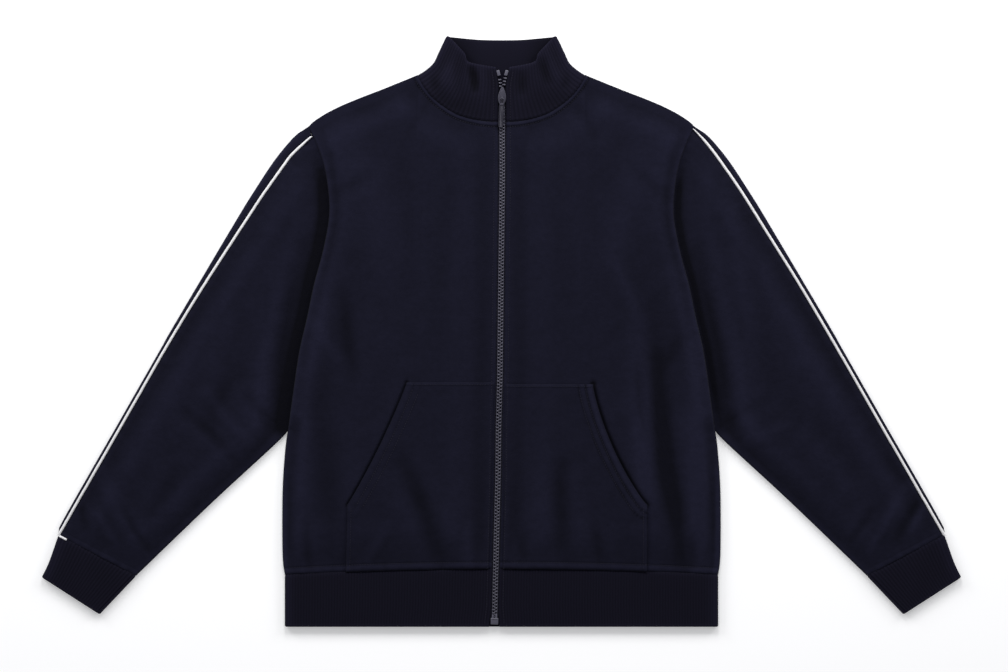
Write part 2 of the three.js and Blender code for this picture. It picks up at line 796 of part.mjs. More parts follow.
// A solid through closed rings, with a fan over each end.
function tubeOf(rings) {
  const sides = rings[0].length;
  const points = rings.flat();
  const faces = [];
  for (let r = 0; r < rings.length - 1; r++) {
    for (let k = 0; k < sides; k++) {
      const a = r * sides + k;
      const b = r * sides + ((k + 1) % sides);
      faces.push([a, b, b + sides], [a, b + sides, a + sides]);
    }
  }
  const last = points.length - sides;
  for (let k = 1; k < sides - 1; k++)
    faces.push([0, k + 1, k], [last, last + k, last + k + 1]);
  return solidFrom(points, faces);
}

// ---------------------------------------------------------------- rib bands

// A band is traced along legs, each `at(s)` giving a point from 0 to 1. Ribs stand on its outer
// face only. `trim` rounds a free edge in.
function bandRow(legs, trim, ring) {
  const row = { outer: [], inner: [], outerAt: [], innerAt: [] };
  legs.forEach((leg, index) => {
    const first = index ? 1 : 0;
    for (let k = first; k <= leg.steps; k++) {
      if (ring && index === legs.length - 1 && k === leg.steps) break;
      const groove = leg.ribbed && k % 2 ? RIB_DEPTH : 0;
      row.outer.push(inside(leg.at(k / leg.steps), groove + trim));
      row.outerAt.push(index + k / leg.steps);
    }
    for (let k = first; k <= leg.plain; k++) {
      if (ring && index === legs.length - 1 && k === leg.plain) break;
      row.inner.push(inside(leg.at(k / leg.plain), RIB_WALL - trim * 0.6));
      row.innerAt.push(index + k / leg.plain);
    }
  });
  return row;
}

function band(rows, ring = false) {
  return closedWall({
    outer: rows.map((row) => row.outer),
    inner: rows.map((row) => row.inner),
    outerAt: rows[0].outerAt,
    innerAt: rows[0].innerAt,
    ring,
  });
}

const evenCount = (length) => 2 * Math.round(length / RIB_PITCH);

// The side fold of a band: half a turn from its upper layer at s = 0 to its under one at s = 1.
function foldLeg(from, outward, upward = false) {
  const at = (s) => {
    const angle = lerp(HALF_TURN, -HALF_TURN, upward ? 1 - s : s);
    const over = RIB_FOLD * Math.cos(angle);
    const out = new THREE.Vector3(outward.x, outward.y, 0).multiplyScalar(Math.cos(angle));
    out.z = Math.sin(angle);
    return facing(from.clone().addScaledVector(outward, over), RIB_FOLD * (1 + out.z), out);
  };
  return { at, steps: 8, plain: 4, ribbed: true };
}

const DOWN = new THREE.Vector3(0, 0, -1);

function upperLeg(line, length, plain, heightAt = () => RIB_TOP) {
  const at = (s) => {
    const plan = line(s);
    return facing(plan, heightAt(plan.x, plan.y));
  };
  return { at, steps: evenCount(length), plain, ribbed: true };
}

function underLeg(line, plain) {
  return { at: (s) => facing(line(s), 0, DOWN), steps: plain, plain, ribbed: false };
}

function hemBand() {
  const east = new THREE.Vector2(1, 0);
  const west = new THREE.Vector2(-1, 0);
  const foldX = HEM_HALF - RIB_FOLD;
  const rowAt = (share, trim) => {
    const place = (x) => new THREE.Vector2(x, lerp(0, hemSeam(x) - SEAM / 2, share));
    const run = (a, b) => (s) => place(lerp(a, b, s));
    const edge = (sign) => zipEdge(place(0).y, sign).x;
    return bandRow(
      [
        upperLeg(run(edge(1), foldX), foldX, 10),
        foldLeg(place(foldX), east),
        underLeg(run(foldX, -foldX), 20),
        foldLeg(place(-foldX), west, true),
        upperLeg(run(-foldX, edge(-1)), foldX, 10),
      ],
      trim,
    );
  };
  return band([rowAt(0, RIB_EDGE), rowAt(0.03, 0), rowAt(1, 0)]);
}

function cuff(name) {
  const { sign } = SIDES[name];
  const seam = [point(CUFF.seamInner, sign), point(CUFF.seamOuter, sign)];
  const end = [point(CUFF.endInner, sign), point(CUFF.endOuter, sign)];
  const inner = straightLine(seam[0], end[0]);
  const outer = smoothLine([CUFF.seamOuter, CUFF.bulgeOuter, CUFF.endOuter], sign);
  const along = end[0].clone().sub(seam[0]).normalize();
  const rowAt = (share, trim) => {
    const a = inner(share);
    const b = outer(share);
    const gap = share === 0 ? SEAM : 0;
    a.addScaledVector(along, gap);
    b.addScaledVector(along, gap);
    const outward = b.clone().sub(a).normalize();
    const inward = outward.clone().negate();
    const near = a.clone().addScaledVector(outward, RIB_FOLD);
    const far = b.clone().addScaledVector(outward, -RIB_FOLD);
    const width = seam[0].distanceTo(seam[1]);
    return bandRow(
      [
        upperLeg(straightLine(near, far), width, 4),
        foldLeg(far, outward),
        underLeg(straightLine(far, near), 4),
        foldLeg(near, inward, true),
      ],
      trim,
      true,
    );
  };
  return band([rowAt(0, 0), rowAt(0.97, 0), rowAt(1, RIB_EDGE)], true);
}

// The neck seam as the front panels' straight-sided grids have it, so that the collar follows it.
function steppedLine(line, count) {
  const stops = steps(count).map(line);
  return (t) => {
    const place = clamp(t, 0, 1) * count;
    const low = Math.min(Math.floor(place), count - 1);
    return stops[low].clone().lerp(stops[low + 1], place - low);
  };
}

function collarHeight(x, y) {
  return RIB_TOP + clamp(foldsAt(COLLAR_FOLDS, x, y), -0.1, 0.5);
}

function collar() {
  const halves = {};
  for (const sign of [1, -1]) {
    const fold = smoothLine(COLLAR_FOLD, sign);
    const outward = (t) => across(fold, t, sign);
    const foldIn = (t) => fold(t).addScaledVector(outward(t), -RIB_FOLD);
    const fromZip = { x: sign * zipEdge(NECK_FRONT, sign).x, y: NECK_FRONT };
    const seam = beside(smoothLine([fromZip, ...NECKLINE], sign), SEAM / 2, -sign);
    const stepped = steppedLine(seam, STEPS.zipToPocket);
    const lastStep = 1 - 1 / STEPS.zipToPocket;
    const neckline = (t) =>
      t <= lastStep
        ? stepped(t)
        : stepped(lastStep).lerp(foldIn(0), (t - lastStep) / (1 - lastStep));
    const topFrom = zipEdge(COLLAR_FRONT_TOP, sign);
    const topEdge = smoothLine(
      [{ x: sign * topFrom.x, y: topFrom.y }, ...COLLAR_FRONT_EDGE.slice(1)],
      sign,
    );
    const shift = foldIn(1).sub(topEdge(1));
    const frontTop = (t) => topEdge(t).addScaledVector(shift, t * t);
    const backSeam = beside(smoothLine(BACK_NECK, sign), SEAM / 2, -sign);
    const backStepped = steppedLine(backSeam, STEPS.backMiddle);
    const backLast = 1 - 1 / STEPS.backMiddle;
    const backNeck = (t) =>
      t <= backLast
        ? backStepped(t)
        : backStepped(backLast).lerp(foldIn(0), (t - backLast) / (1 - backLast));
    const backEdge = smoothLine(COLLAR_BACK_EDGE, sign);
    const backShift = foldIn(1).sub(backEdge(1));
    halves[sign] = {
      outward,
      foldIn,
      upper: patch({
        bottom: neckline,
        top: frontTop,
        left: (t) => zipEdge(lerp(neckline(0).y, COLLAR_FRONT_TOP, t), sign),
        right: foldIn,
      }),
      under: patch({
        bottom: backNeck,
        top: (t) => backEdge(t).addScaledVector(backShift, t * t),
        left: (t) => new THREE.Vector2(0, lerp(backNeck(0).y, COLLAR_BACK_TOP, t)),
        right: foldIn,
      }),
    };
  }
  const right = halves[1];
  const left = halves[-1];
  const halfSteps = STEPS.backMiddle;
  const rowAt = (t, trim) =>
    bandRow(
      [
        upperLeg((s) => right.upper(s, t), 115, STEPS.zipToPocket, collarHeight),
        foldLeg(right.foldIn(t), right.outward(t)),
        underLeg((s) => right.under(1 - s, t), halfSteps),
        underLeg((s) => left.under(s, t), halfSteps),
        foldLeg(left.foldIn(t), left.outward(t), true),
        upperLeg((s) => left.upper(1 - s, t), 115, STEPS.zipToPocket, collarHeight),
      ],
      trim,
    );
  return band([rowAt(0, 0), rowAt(0.5, 0), rowAt(0.97, 0), rowAt(1, RIB_EDGE)]);
}

// ---------------------------------------------------------------- zip

// A flat bar along the zip's line between two heights up the garment.
function zipBar({ from, to, near, far, low, high, sign = 1, count = STEPS.zip }) {
  const rings = steps(count).map((t) => {
    const y = lerp(from, to, t);
    const nearX = zipX(y) + sign * (typeof near === "function" ? near(y) : near);
    const farX = zipX(y) + sign * (typeof far === "function" ? far(y) : far);
    return [
      new THREE.Vector3(nearX, y, low),
      new THREE.Vector3(farX, y, low),
      new THREE.Vector3(farX, y, high),
      new THREE.Vector3(nearX, y, high),
    ];
  });
  return tubeOf(rings);
}

function zipTape(sign) {
  const near = (y) => ZIP.chainHalf + SEAM + ZIP.channelWidens * smoothstep(y, 700, 724);
  return zipBar({
    from: ZIP.boxTop + SEAM,
    to: COLLAR_FRONT_TOP - 2,
    near,
    far: ZIP.tapeHalf,
    low: ZIP.chainLow,
    high: ZIP.tapeHigh,
    sign,
    count: 2 * STEPS.zip,
  });
}

function zipChain() {
  return zipBar({
    from: ZIP.boxTop + SEAM,
    to: ZIP.split,
    near: -ZIP.chainHalf,
    far: ZIP.chainHalf,
    low: ZIP.chainLow,
    high: ZIP.chainHigh,
    count: 2 * STEPS.zip,
  });
}

// One row of teeth above the split, spreading out to its top stop.
function zipTop(sign) {
  const spread = (y) => 3.2 * smoothstep(y, 703, ZIP.stopsTop + 4);
  return zipBar({
    from: ZIP.split + SEAM,
    to: ZIP.stopsTop,
    near: (y) => SEAM / 2 + spread(y),
    far: (y) => ZIP.chainHalf + spread(y) * 0.9,
    low: ZIP.tapeHigh + SEAM,
    high: ZIP.chainHigh,
    sign,
    count: 6,
  });
}

function zipBox() {
  return zipBar({
    from: ZIP.bottom,
    to: ZIP.boxTop,
    near: -ZIP.boxHalf,
    far: ZIP.boxHalf,
    low: ZIP.chainLow,
    high: ZIP.boxHigh,
    count: 1,
  });
}

const deep = (shape, depth, options = {}) =>
  new THREE.ExtrudeGeometry(shape, { depth, bevelEnabled: false, curveSegments: 6, ...options });

function outlineShape(corners) {
  return new THREE.Shape(corners.map(([x, y]) => new THREE.Vector2(x, y)));
}

function manifoldOf(geometry) {
  const bare = geometry.clone();
  bare.deleteAttribute("normal");
  bare.deleteAttribute("uv");
  const merged = mergeVertices(bare, 1e-4);
  const mesh = new wasm.Mesh({
    numProp: 3,
    vertProperties: merged.attributes.position.array,
    triVerts: Uint32Array.from(merged.index.array),
  });
  return new wasm.Manifold(mesh);
}

function geometryOf(solid) {
  const mesh = solid.getMesh();
  const geometry = new THREE.BufferGeometry();
  geometry.setAttribute("position", new THREE.BufferAttribute(mesh.vertProperties, 3));
  geometry.setIndex(new THREE.BufferAttribute(mesh.triVerts, 1));
  return geometry;
}

// The slider about its pull's pivot: a plate over the front edges, a post down between them, and
// a bridge over the pull's bar.
function slider() {
  const s = SLIDER;
  const outline = (half, nose) =>
    outlineShape([
      [-half * 0.85, -s.tail],
      [half * 0.85, -s.tail],
      [half, 0],
      [half, 0.3 * s.nose],
      [nose, s.nose],
      [-nose, s.nose],
      [-half, 0.3 * s.nose],
      [-half, 0],
    ]);
  const plate = deep(outline(s.halfWidth, s.noseHalf), s.plateHigh - s.plateLow);
  plate.translate(0, 0, s.plateLow);
  const post = deep(outline(s.post, s.noseHalf), s.plateHigh - s.low - 0.2).translate(0, 0, s.low);
  const b = BRIDGE;
  const arch = outlineShape([
    [-b.half, -0.2],
    [-b.half, b.tunnel],
    [-b.half + b.roof, b.tunnel + b.roof],
    [b.half - b.roof, b.tunnel + b.roof],
    [b.half, b.tunnel],
    [b.half, -0.2],
    [b.inner, -0.2],
    [b.inner, b.tunnel],
    [-b.inner, b.tunnel],
    [-b.inner, -0.2],
  ]);
  const bridge = deep(arch, b.width).translate(0, 0, -b.width / 2);
  bridge.rotateX(HALF_TURN).rotateZ(HALF_TURN).translate(0, 0, s.plateHigh);
  return geometryOf(manifoldOf(plate).add(manifoldOf(post)).add(manifoldOf(bridge)));
}

// The pull about its pivot, lying towards the hem: a bar through the bridge, a window, and a tab.
function pullTab() {
  const p = PULL;
  const bottom = -p.length;
  const outline = outlineShape([
    [-p.neckHalf, p.barHalf],
    [-p.neckHalf, -p.window - 2],
    [-p.tipHalf, -p.window - 6],
    [-p.tipHalf, bottom + 1.5],
    [-p.tipHalf + 1.5, bottom],
    [p.tipHalf - 1.5, bottom],
    [p.tipHalf, bottom + 1.5],
    [p.tipHalf, -p.window - 6],
    [p.neckHalf, -p.window - 2],
    [p.neckHalf, p.barHalf],
  ]);
  const hole = outlineShape([
    [-p.windowHalf, -p.barHalf],
    [p.windowHalf, -p.barHalf],
    [p.windowHalf, -p.window],
    [-p.windowHalf, -p.window],
  ]);
  outline.holes.push(hole);
  return geometryOf(manifoldOf(deep(outline, p.thick).translate(0, 0, -p.thick / 2)));
}

// ---------------------------------------------------------------- the jacket

const jacket = new THREE.Group();

function addPiece(name, geometry, material, parent = jacket) {
  const mesh = new THREE.Mesh(geometry, new THREE.MeshStandardMaterial(MATERIALS[material]));
  mesh.name = name;
  parent.add(mesh);
  return mesh;
}

addPiece("back", back(), "fleece");
addPiece("hem_band", hemBand(), "rib");
addPiece("collar", collar(), "rib");
for (const [name, { sign }] of Object.entries(SIDES)) {
  addPiece(`front_${name}`, front(name), "fleece");
  addPiece(`pocket_${name}`, pocket(name), "fleece");
  addPiece(`sleeve_front_${name}`, sleeveFront(name), "fleece");
  addPiece(`sleeve_back_${name}`, sleeveBack(name), "fleece");
  addPiece(`piping_${name}`, piping(name), "piping");
  addPiece(`cuff_${name}`, cuff(name), "rib");
  addPiece(`zip_tape_${name}`, zipTape(sign), "tape");
  addPiece(`zip_top_${name}`, zipTop(sign), "zip");
}
addPiece("zip_chain", zipChain(), "zip");
addPiece("zip_box", zipBox(), "zip");

const PIVOT_Y = 686;
const hardware = new THREE.Group();
hardware.position.set(zipX(PIVOT_Y), PIVOT_Y, 0);
hardware.rotation.z = degToRad(SLIDER.lean);
addPiece("slider", slider(), "zip", hardware);
const pull = addPiece("pull_tab", pullTab(), "zip", hardware);
pull.position.z = SLIDER.plateHigh + BRIDGE.tunnel / 2;
pull.rotation.x = degToRad(PULL.droop);
jacket.add(hardware);

// The origin is on the table, under the middle of the jacket's box.
const part = new THREE.Group();
part.add(jacket);
const box = new THREE.Box3().setFromObject(part);
jacket.position.set(-(box.min.x + box.max.x) / 2, -(box.min.y + box.max.y) / 2, 0);
part.updateMatrixWorld(true);

export default part;
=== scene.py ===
"""A dark navy fleece jacket laid flat, dressed over its frame: cloth, rib bands, zip and stitching."""

import math

import bmesh
import bpy
import numpy as np
from mathutils import Matrix, Vector
from mathutils.bvhtree import BVHTree


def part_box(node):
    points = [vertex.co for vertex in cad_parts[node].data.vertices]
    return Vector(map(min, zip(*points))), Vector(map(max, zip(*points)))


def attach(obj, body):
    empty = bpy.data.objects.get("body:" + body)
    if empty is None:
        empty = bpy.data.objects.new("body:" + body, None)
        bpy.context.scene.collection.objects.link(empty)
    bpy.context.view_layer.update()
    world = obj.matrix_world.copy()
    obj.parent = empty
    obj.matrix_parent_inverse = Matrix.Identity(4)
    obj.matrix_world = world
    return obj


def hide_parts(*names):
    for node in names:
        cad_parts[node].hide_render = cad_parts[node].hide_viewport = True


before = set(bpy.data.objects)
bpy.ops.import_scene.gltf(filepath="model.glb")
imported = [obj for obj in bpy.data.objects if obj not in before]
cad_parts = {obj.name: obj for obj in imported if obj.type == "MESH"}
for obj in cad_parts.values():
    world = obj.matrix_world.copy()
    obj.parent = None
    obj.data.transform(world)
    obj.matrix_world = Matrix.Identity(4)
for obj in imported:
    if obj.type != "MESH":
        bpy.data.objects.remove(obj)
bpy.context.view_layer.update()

bl_info = {
    "name": "Fleece jacket",
    "version": (1, 0, 0),
    "blender": (4, 5, 0),
    "location": "3D View > Sidebar > Jacket",
    "description": "Builds a full-zip fleece jacket laid flat, piece by piece",
    "category": "Add Mesh",
}

# Lengths below are millimetres, measured as a tailor lays the jacket out: x from the middle, y up
# from the hem's lower edge, z up from the table. The hem's own solid says where that is.
HEM_LOW, HEM_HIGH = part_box("hem_band")
MIDDLE_X = (HEM_LOW.x + HEM_HIGH.x) / 2
FOOT_Y = HEM_LOW.y
MM = 0.001

# Walls of cloth, and the radius over which a doubled band and the body's side turn under.
FLEECE = 2.4
POCKET_WALL = 2.0
RIB_WALL = 3.4
RIB_FOLD = 4.1
BODY_FOLD = 3.15
QUARTER = math.pi / 2
FOLD_ARC = BODY_FOLD * math.pi / 2
FLAT_EDGE = 0.8  # how far an edge that doesn't turn under reaches
SEAM = 0.3  # the gap between two pieces sewn together
RIB_PITCH = 3.6  # from one wale of the rib knit to the next

# Where the hem and the collar lie, and how high the cloth stands.
HEM_HALF = 281.5
HEM_SEAM_SIDE = 67.0
HEM_SEAM_MIDDLE = 75.0
NECK_FRONT = 656.5
COLLAR_FRONT_TOP = 727.0
COLLAR_BACK_TOP = 762.0
FRONT_TOP = 7.1
FRONT_LEAST = 5.1
PLACKET_TOP = 7.3
SLEEVE_TOP = 6.6
SLEEVE_LEAST = 4.6
FRONT_LOFT = 4.2  # how far the air under the fronts lifts them, away from their seams
SLEEVE_LOFT = 4.6
DRAPE = 2.2  # how much fuller the cloth's folds are than the plain solid's
PIPING = 3.5
PIPING_GAP = 0.45

# Half the gap for the zip, what it gains over the collar and at its foot, and the turned strip
# beside it that the pocket stops at.
CHANNEL = 4.8
CHANNEL_TOP_GAIN = 3.6
CHANNEL_FOOT_GAIN = 1.9
PLACKET = 4.6

NECK_CORNER = (108, 717)
SHOULDER_TIP = (252, 649)
UNDERARM = (277.5, 255.5)

# Outlines of the jacket's half at +x, which "right" means throughout, each point (x, y).
ZIP_LINE = [
    (-9.3, 0), (-8.3, 41), (-6.1, 132), (-4.5, 197), (-3.8, 262),
    (-2, 327), (-0.6, 457), (1.1, 587), (0.6, 687), (1.3, 725),
]
SIDE_SEAM = [(281.5, 67.4), (284.5, 95), (284.5, 175), (281, 230), UNDERARM]
ARMHOLE = [
    UNDERARM, (270.5, 307), (263, 357), (253, 401), (244, 444), (232.5, 487),
    (224.5, 530), (225, 563), (231, 599), (242, 630), SHOULDER_TIP,
]
SHOULDER = [
    NECK_CORNER, (130, 708), (156, 697.5), (183, 687), (207, 677), (229, 666), (246, 655),
    SHOULDER_TIP,
]
NECKLINE = [
    (16, 656.5), (28, 658), (45, 662), (62, 668.5), (79, 680), (92, 692.5), (104, 709), NECK_CORNER,
]
BACK_NECK = [(0, 691), (30, 691.5), (60, 694.5), (86, 701), NECK_CORNER]
COLLAR_FOLD = [(109.5, 716), (99, 722.6), (88.5, 732), (82.5, 744), (77.4, 755), (71, 768)]
COLLAR_FRONT_EDGE = [(33, 728.5), (41, 733), (47, 744), (57, 755), (66, 764.5)]
COLLAR_BACK_EDGE = [(0, COLLAR_BACK_TOP), (30, 763), (66, 767.5)]
# Where the piping leaves the armhole and runs down the sleeve; lower down it follows the outer edge.
PIPING_TOP = {
    "right": [(249, 647), (265, 630), (283.5, 606), (312.7, 563.6), (341.9, 517)],
    "left": [(247, 637), (271.7, 613.9), (284.1, 597.7), (302.3, 572), (319.3, 547.2)],
}
SLEEVE_OUTER = [
    (265, 640.5), (275.6, 630), (296.4, 604), (322, 565), (346, 526), (423, 396), (440, 366),
]
FOREARM_OUTER = [(440, 366), (497, 266), (571, 136), (576, 119)]
FOREARM_INNER = [UNDERARM, (290.5, 240), (375, 162), (475, 66)]
CUFF_SEAM = ((475, 65.5), (576, 118.5))
CUFF_END = ((522, 16), (597.4, 64.4))
CUFF_OUTER = [CUFF_SEAM[1], (588, 84), CUFF_END[1]]

# Each side's sign, its pocket, the piping's distance from the sleeve's edge at three places, and how
# strong the highlight painted on the body's side is; then how far the pocket's mouth bows in, how wide
# it creases the front, and how full its hem is, which also sets the shade and highlight painted at the
# mouth; and how strong and wide the shade painted on the sleeve beside the body is, and the height up
# from which it has its full strength.
SIDES = {
    "right": {
        "sign": 1, "hem_at": (189, 72), "mouth_foot": (189, 159), "mouth_head": (119, 315),
        "piping": (7.5, 5.6, 5.0), "painted_light": 0.7, "bow": 10.2, "creased": 3.4, "puff_and_painted_shading": 0.7,
        "hollow_shade_paint": (0.75, 5.5, 330),
    },
    "left": {
        "sign": -1, "hem_at": (202, 71), "mouth_foot": (200, 159), "mouth_head": (123, 317.5),
        "piping": (12.0, 5.2, 4.8), "painted_light": 0.25, "bow": 4.3, "creased": 2.4, "puff_and_painted_shading": 0.2,
        "hollow_shade_paint": (1.1, 9.0, 270),
    },
}

MOUTH_CREASE = 1.7  # how far the front sinks along the pocket's mouth
DEEPEST_PAINTED_SHADE = -0.18  # lowest value of the painted-shade mask, which is 0 in the hollows and 1 on the crests; painted marks darken down to it

# How far each row of stitches lies from its edge or seam.
MOUTH_ROWS = (10.0, 18.5)
POCKET_ROW = 5.0
TOP_ROW = 3  # below the pocket's top
NECK_ROW = 6.5
HEM_ROW = 9
ZIP_ROW = PLACKET + 1.2
CUFF_ROW = 8

# How far the piping turns along the cuff's seam at its end, and how high its middle is there.
PIPING_TAIL = {"left": 12.0, "right": 0.0}
CUFF_TOP = 7.7

# Soft folds, each listed as: from (x, y), to (x, y), half width, and rise (a trough where negative).
FRONT_FOLDS = [
    (205, 335, 232, 85, 14, -1.5), (178, 330, 196, 90, 16, 0.9), (252, 350, 256, 80, 17, 0.8),
    (-125, 205, -78, 88, 15, -1.1), (80, 205, 76, 110, 13, -1.0), (-235, 300, -215, 90, 24, -0.8),
    (-238, 440, -262, 290, 18, 1.0), (238, 450, 262, 290, 18, 1.1), (-195, 640, -150, 480, 34, 0.8),
    (190, 640, 140, 470, 34, 0.8), (-60, 640, -75, 380, 30, -0.7), (62, 630, 70, 400, 30, -0.6),
    (180, 335, 184, 240, 7, -0.7), (150, 470, 175, 400, 9, 0.4), (-205, 420, -190, 330, 9, -0.5),
    (-150, 130, -175, 85, 8, 0.4), (120, 130, 128, 84, 7, -0.4), (30, 120, 26, 84, 7, -0.4),
    (-40, 130, -45, 84, 8, 0.4), (250, 120, 248, 80, 6, -0.5), (-255, 130, -250, 82, 7, -0.5),
    (238, 380, 205, 330, 9, -0.25), (-245, 395, -214, 350, 8, 0.4), (215, 560, 170, 590, 10, -0.4),
    (-218, 560, -176, 585, 10, -0.4), (95, 680, 118, 640, 9, -0.4), (-95, 680, -120, 645, 9, -0.4),
]
SLEEVE_FOLDS = {
    "right": [
        (262, 470, 290, 275, 15, -1.1), (300, 530, 322, 350, 18, 0.9), (330, 450, 420, 290, 30, 1.0),
        (515, 115, 545, 165, 9, -0.9), (497, 130, 522, 178, 9, 0.7), (395, 240, 470, 150, 20, 0.8),
        (275, 600, 300, 520, 24, 0.8), (300, 268, 345, 292, 9, -0.3), (318, 240, 372, 262, 9, 0.3),
        (455, 112, 478, 148, 6, -0.6), (478, 98, 500, 134, 6, 0.5), (532, 128, 556, 172, 6, 0.5),
        (500, 220, 520, 190, 8, -0.4),
    ],
    "left": [
        (258, 480, 288, 280, 20, -1.4), (345, 330, 380, 260, 15, -0.5), (385, 330, 350, 390, 17, 0.4),
        (480, 120, 520, 200, 16, 0.8), (420, 200, 450, 150, 12, -0.6), (280, 590, 300, 520, 24, 0.9),
        (330, 240, 380, 300, 8, 0.5), (352, 222, 405, 275, 8, -0.6), (462, 105, 490, 150, 6, -0.6),
        (500, 108, 524, 146, 6, 0.5), (540, 130, 552, 168, 6, -0.5), (300, 262, 330, 300, 8, -0.5),
    ],
}
COLLAR_FOLDS = [
    (-38, 724, -34, 698, 6, -0.9), (54, 734, 60, 708, 7, -0.5), (26, 718, 27, 694, 8, -0.5),
    (-80, 738, -60, 690, 12, 0.5), (-92, 718, -84, 700, 6, -0.4), (88, 722, 82, 702, 6, -0.4),
]
BACK_FOLDS = [
    (-160, 560, -60, 380, 22, -0.5), (170, 520, 90, 330, 20, -0.4), (-210, 300, -190, 120, 18, 0.5),
    (205, 280, 195, 100, 18, 0.4), (-40, 640, 30, 560, 24, 0.4), (60, 240, 20, 110, 20, -0.4),
]


# ---------------------------------------------------------------- lines and patches in the plan


def run_along(points):
    """How far along a row of points each one is."""
    return np.concatenate([[0], np.cumsum(np.linalg.norm(np.diff(points, axis=0), axis=1))])


def smooth_line(table, sign=1):
    """A smooth line through the table's points, read by its share of the length."""
    pts = np.array(table, float) * (sign, 1)
    padded = np.vstack([pts[0], pts, pts[-1]])
    t = np.linspace(0, 1, 40, endpoint=False)[:, None]
    runs = []
    for a, b, c, d in zip(padded, padded[1:], padded[2:], padded[3:]):
        v0, v1 = (c - a) / 2, (d - b) / 2
        cubic, square = 2 * b - 2 * c + v0 + v1, 3 * c - 3 * b - 2 * v0 - v1
        runs.append(cubic * t**3 + square * t**2 + v0 * t + b)
    dense = np.vstack(runs + [pts[-1:]])
    share = run_along(dense)
    share /= share[-1]

    def line(t):
        t = np.clip(np.asarray(t, float), 0, 1)
        return np.stack([np.interp(t, share, dense[:, k]) for k in (0, 1)], -1)

    return line


def straight_line(a, b):
    a, b = np.array(a, float), np.array(b, float)
    return lambda t: a + (b - a) * np.asarray(t, float)[..., None]


def across(line, t, side=1):
    """The unit vector across a line, on its right as t grows, or on its left with side -1."""
    step = 0.004
    way = line(np.minimum(np.asarray(t) + step, 1)) - line(np.maximum(np.asarray(t) - step, 0))
    out = np.stack([way[..., 1], -way[..., 0]], -1)
    return out / np.linalg.norm(out, axis=-1, keepdims=True) * side


def beside(line, distance, side):
    """A line at a distance from another, on its right, or on its left with side -1."""
    return lambda t: line(t) + across(line, t, side) * distance


def pinned(line, start, end):
    """A line with its two ends moved to given points."""
    at_start, at_end = start - line(0.0), end - line(1.0)

    def moved(t):
        t = np.asarray(t, float)
        return line(t) + at_start * ((1 - t) ** 2)[..., None] + at_end * (t**2)[..., None]

    return moved


def patch(bottom, top, left, right):
    """Fills in a grid from its four edge lines; u runs along the bottom and v up the sides."""

    def fill(u, v):
        u, v = np.asarray(u, float), np.asarray(v, float)
        a, b, c, d = bottom(0.0), bottom(1.0), top(0.0), top(1.0)
        u1, v1 = u[..., None], v[..., None]
        edges = bottom(u) * (1 - v1) + top(u) * v1 + left(v) * (1 - u1) + right(v) * u1
        return edges - (a * (1 - u1) + b * u1) * (1 - v1) - (c * (1 - u1) + d * u1) * v1

    return fill


def smoothstep(value, low, high):
    """Rises smoothly from 0 at `low` to 1 at `high`, which may be the smaller."""
    t = np.clip((np.asarray(value, float) - low) / (high - low), 0, 1)
    return t * t * (3 - 2 * t)


def bell(value, width, middle=0.0):
    """1 at the middle, dying off smoothly on both sides of it."""
    return np.exp(-(((value - middle) / width) ** 2))


def lerp(a, b, t):
    return a + (b - a) * t


def ruled(start, end, shares):
    """Rows of points, each from its start to its end, at the given shares of the way."""
    u = shares[:, None]
    return start[:, None] * (1 - u) + end[:, None] * u


def raised(plan, z):
    """Points or ways of the plan with their third number."""
    return np.concatenate([plan, z[..., None]], -1)


def zip_x(y):
    """Where the middle of the zip is at a height up the jacket."""
    table = np.array(ZIP_LINE, float)
    return np.interp(y, table[:, 1], table[:, 0])


def channel(y):
    """Half the gap between the two front edges."""
    over_collar, above_foot = smoothstep(y, 700, COLLAR_FRONT_TOP), smoothstep(y, 4, 30)
    return CHANNEL + CHANNEL_TOP_GAIN * over_collar + CHANNEL_FOOT_GAIN * (1 - above_foot)


def off_zip(x, y):
    """How far a place is from the edge of the front that it is on."""
    return np.abs(x - zip_x(y)) - channel(y)


def zip_edge(y, sign):
    """Points on one front's edge beside the zip."""
    y = np.asarray(y, float)
    return np.stack([zip_x(y) + sign * channel(y), y], -1)


def hem_seam(x):
    """How high the seam between the body and the hem band lies."""
    return lerp(HEM_SEAM_MIDDLE, HEM_SEAM_SIDE, (np.asarray(x) / HEM_HALF) ** 2)


def over_hem(x, away=0):
    """The fronts' and the back's lower edge, or a line that far above it."""
    return np.stack([x, hem_seam(x) + SEAM / 2 + away], -1)


# ---------------------------------------------------------------- heights of the cloth


def folds_at(folds, x, y):
    """The relief of a list of folds: each bends a little, and fades out at its ends."""
    total = np.zeros(np.broadcast(x, y).shape)
    for fx, fy, tx, ty, width, rise in folds:
        length = math.hypot(tx - fx, ty - fy)
        ax, ay = (tx - fx) / length, (ty - fy) / length
        along = (x - fx) * ax + (y - fy) * ay
        off = (x - fx) * ay - (y - fy) * ax
        bend = 0.09 * length * np.sin(along / length * 3.1 + fx)
        past = np.maximum(0, np.maximum(-along, along - length)) / (0.35 * length)
        ends = np.clip(np.minimum(along, length - along) / (0.3 * length), 0, 1)
        fade = np.where(past > 0, 0.6 * np.exp(-4 * past**2), 0.6 + 0.4 * ends)
        total += rise * fade * bell(off + 0.3 * bend, width)
    return total


def ripple(x, y, size, seed=0):
    """Soft uneven relief from -1 to 1, about `size` from crest to crest."""
    total = 0
    for k in range(5):
        turn = seed * 1.7 + k * 2.399
        pace = 2 * math.pi / size * (0.7 + 0.17 * k)
        way_x, way_y = math.cos(turn), math.sin(turn)
        bend = 1.3 * np.sin((x * way_y - y * way_x) * pace * 0.43 + k)
        total = total + np.sin((x * way_x + y * way_y) * pace + bend + k * 1.9)
    return total / 3.2


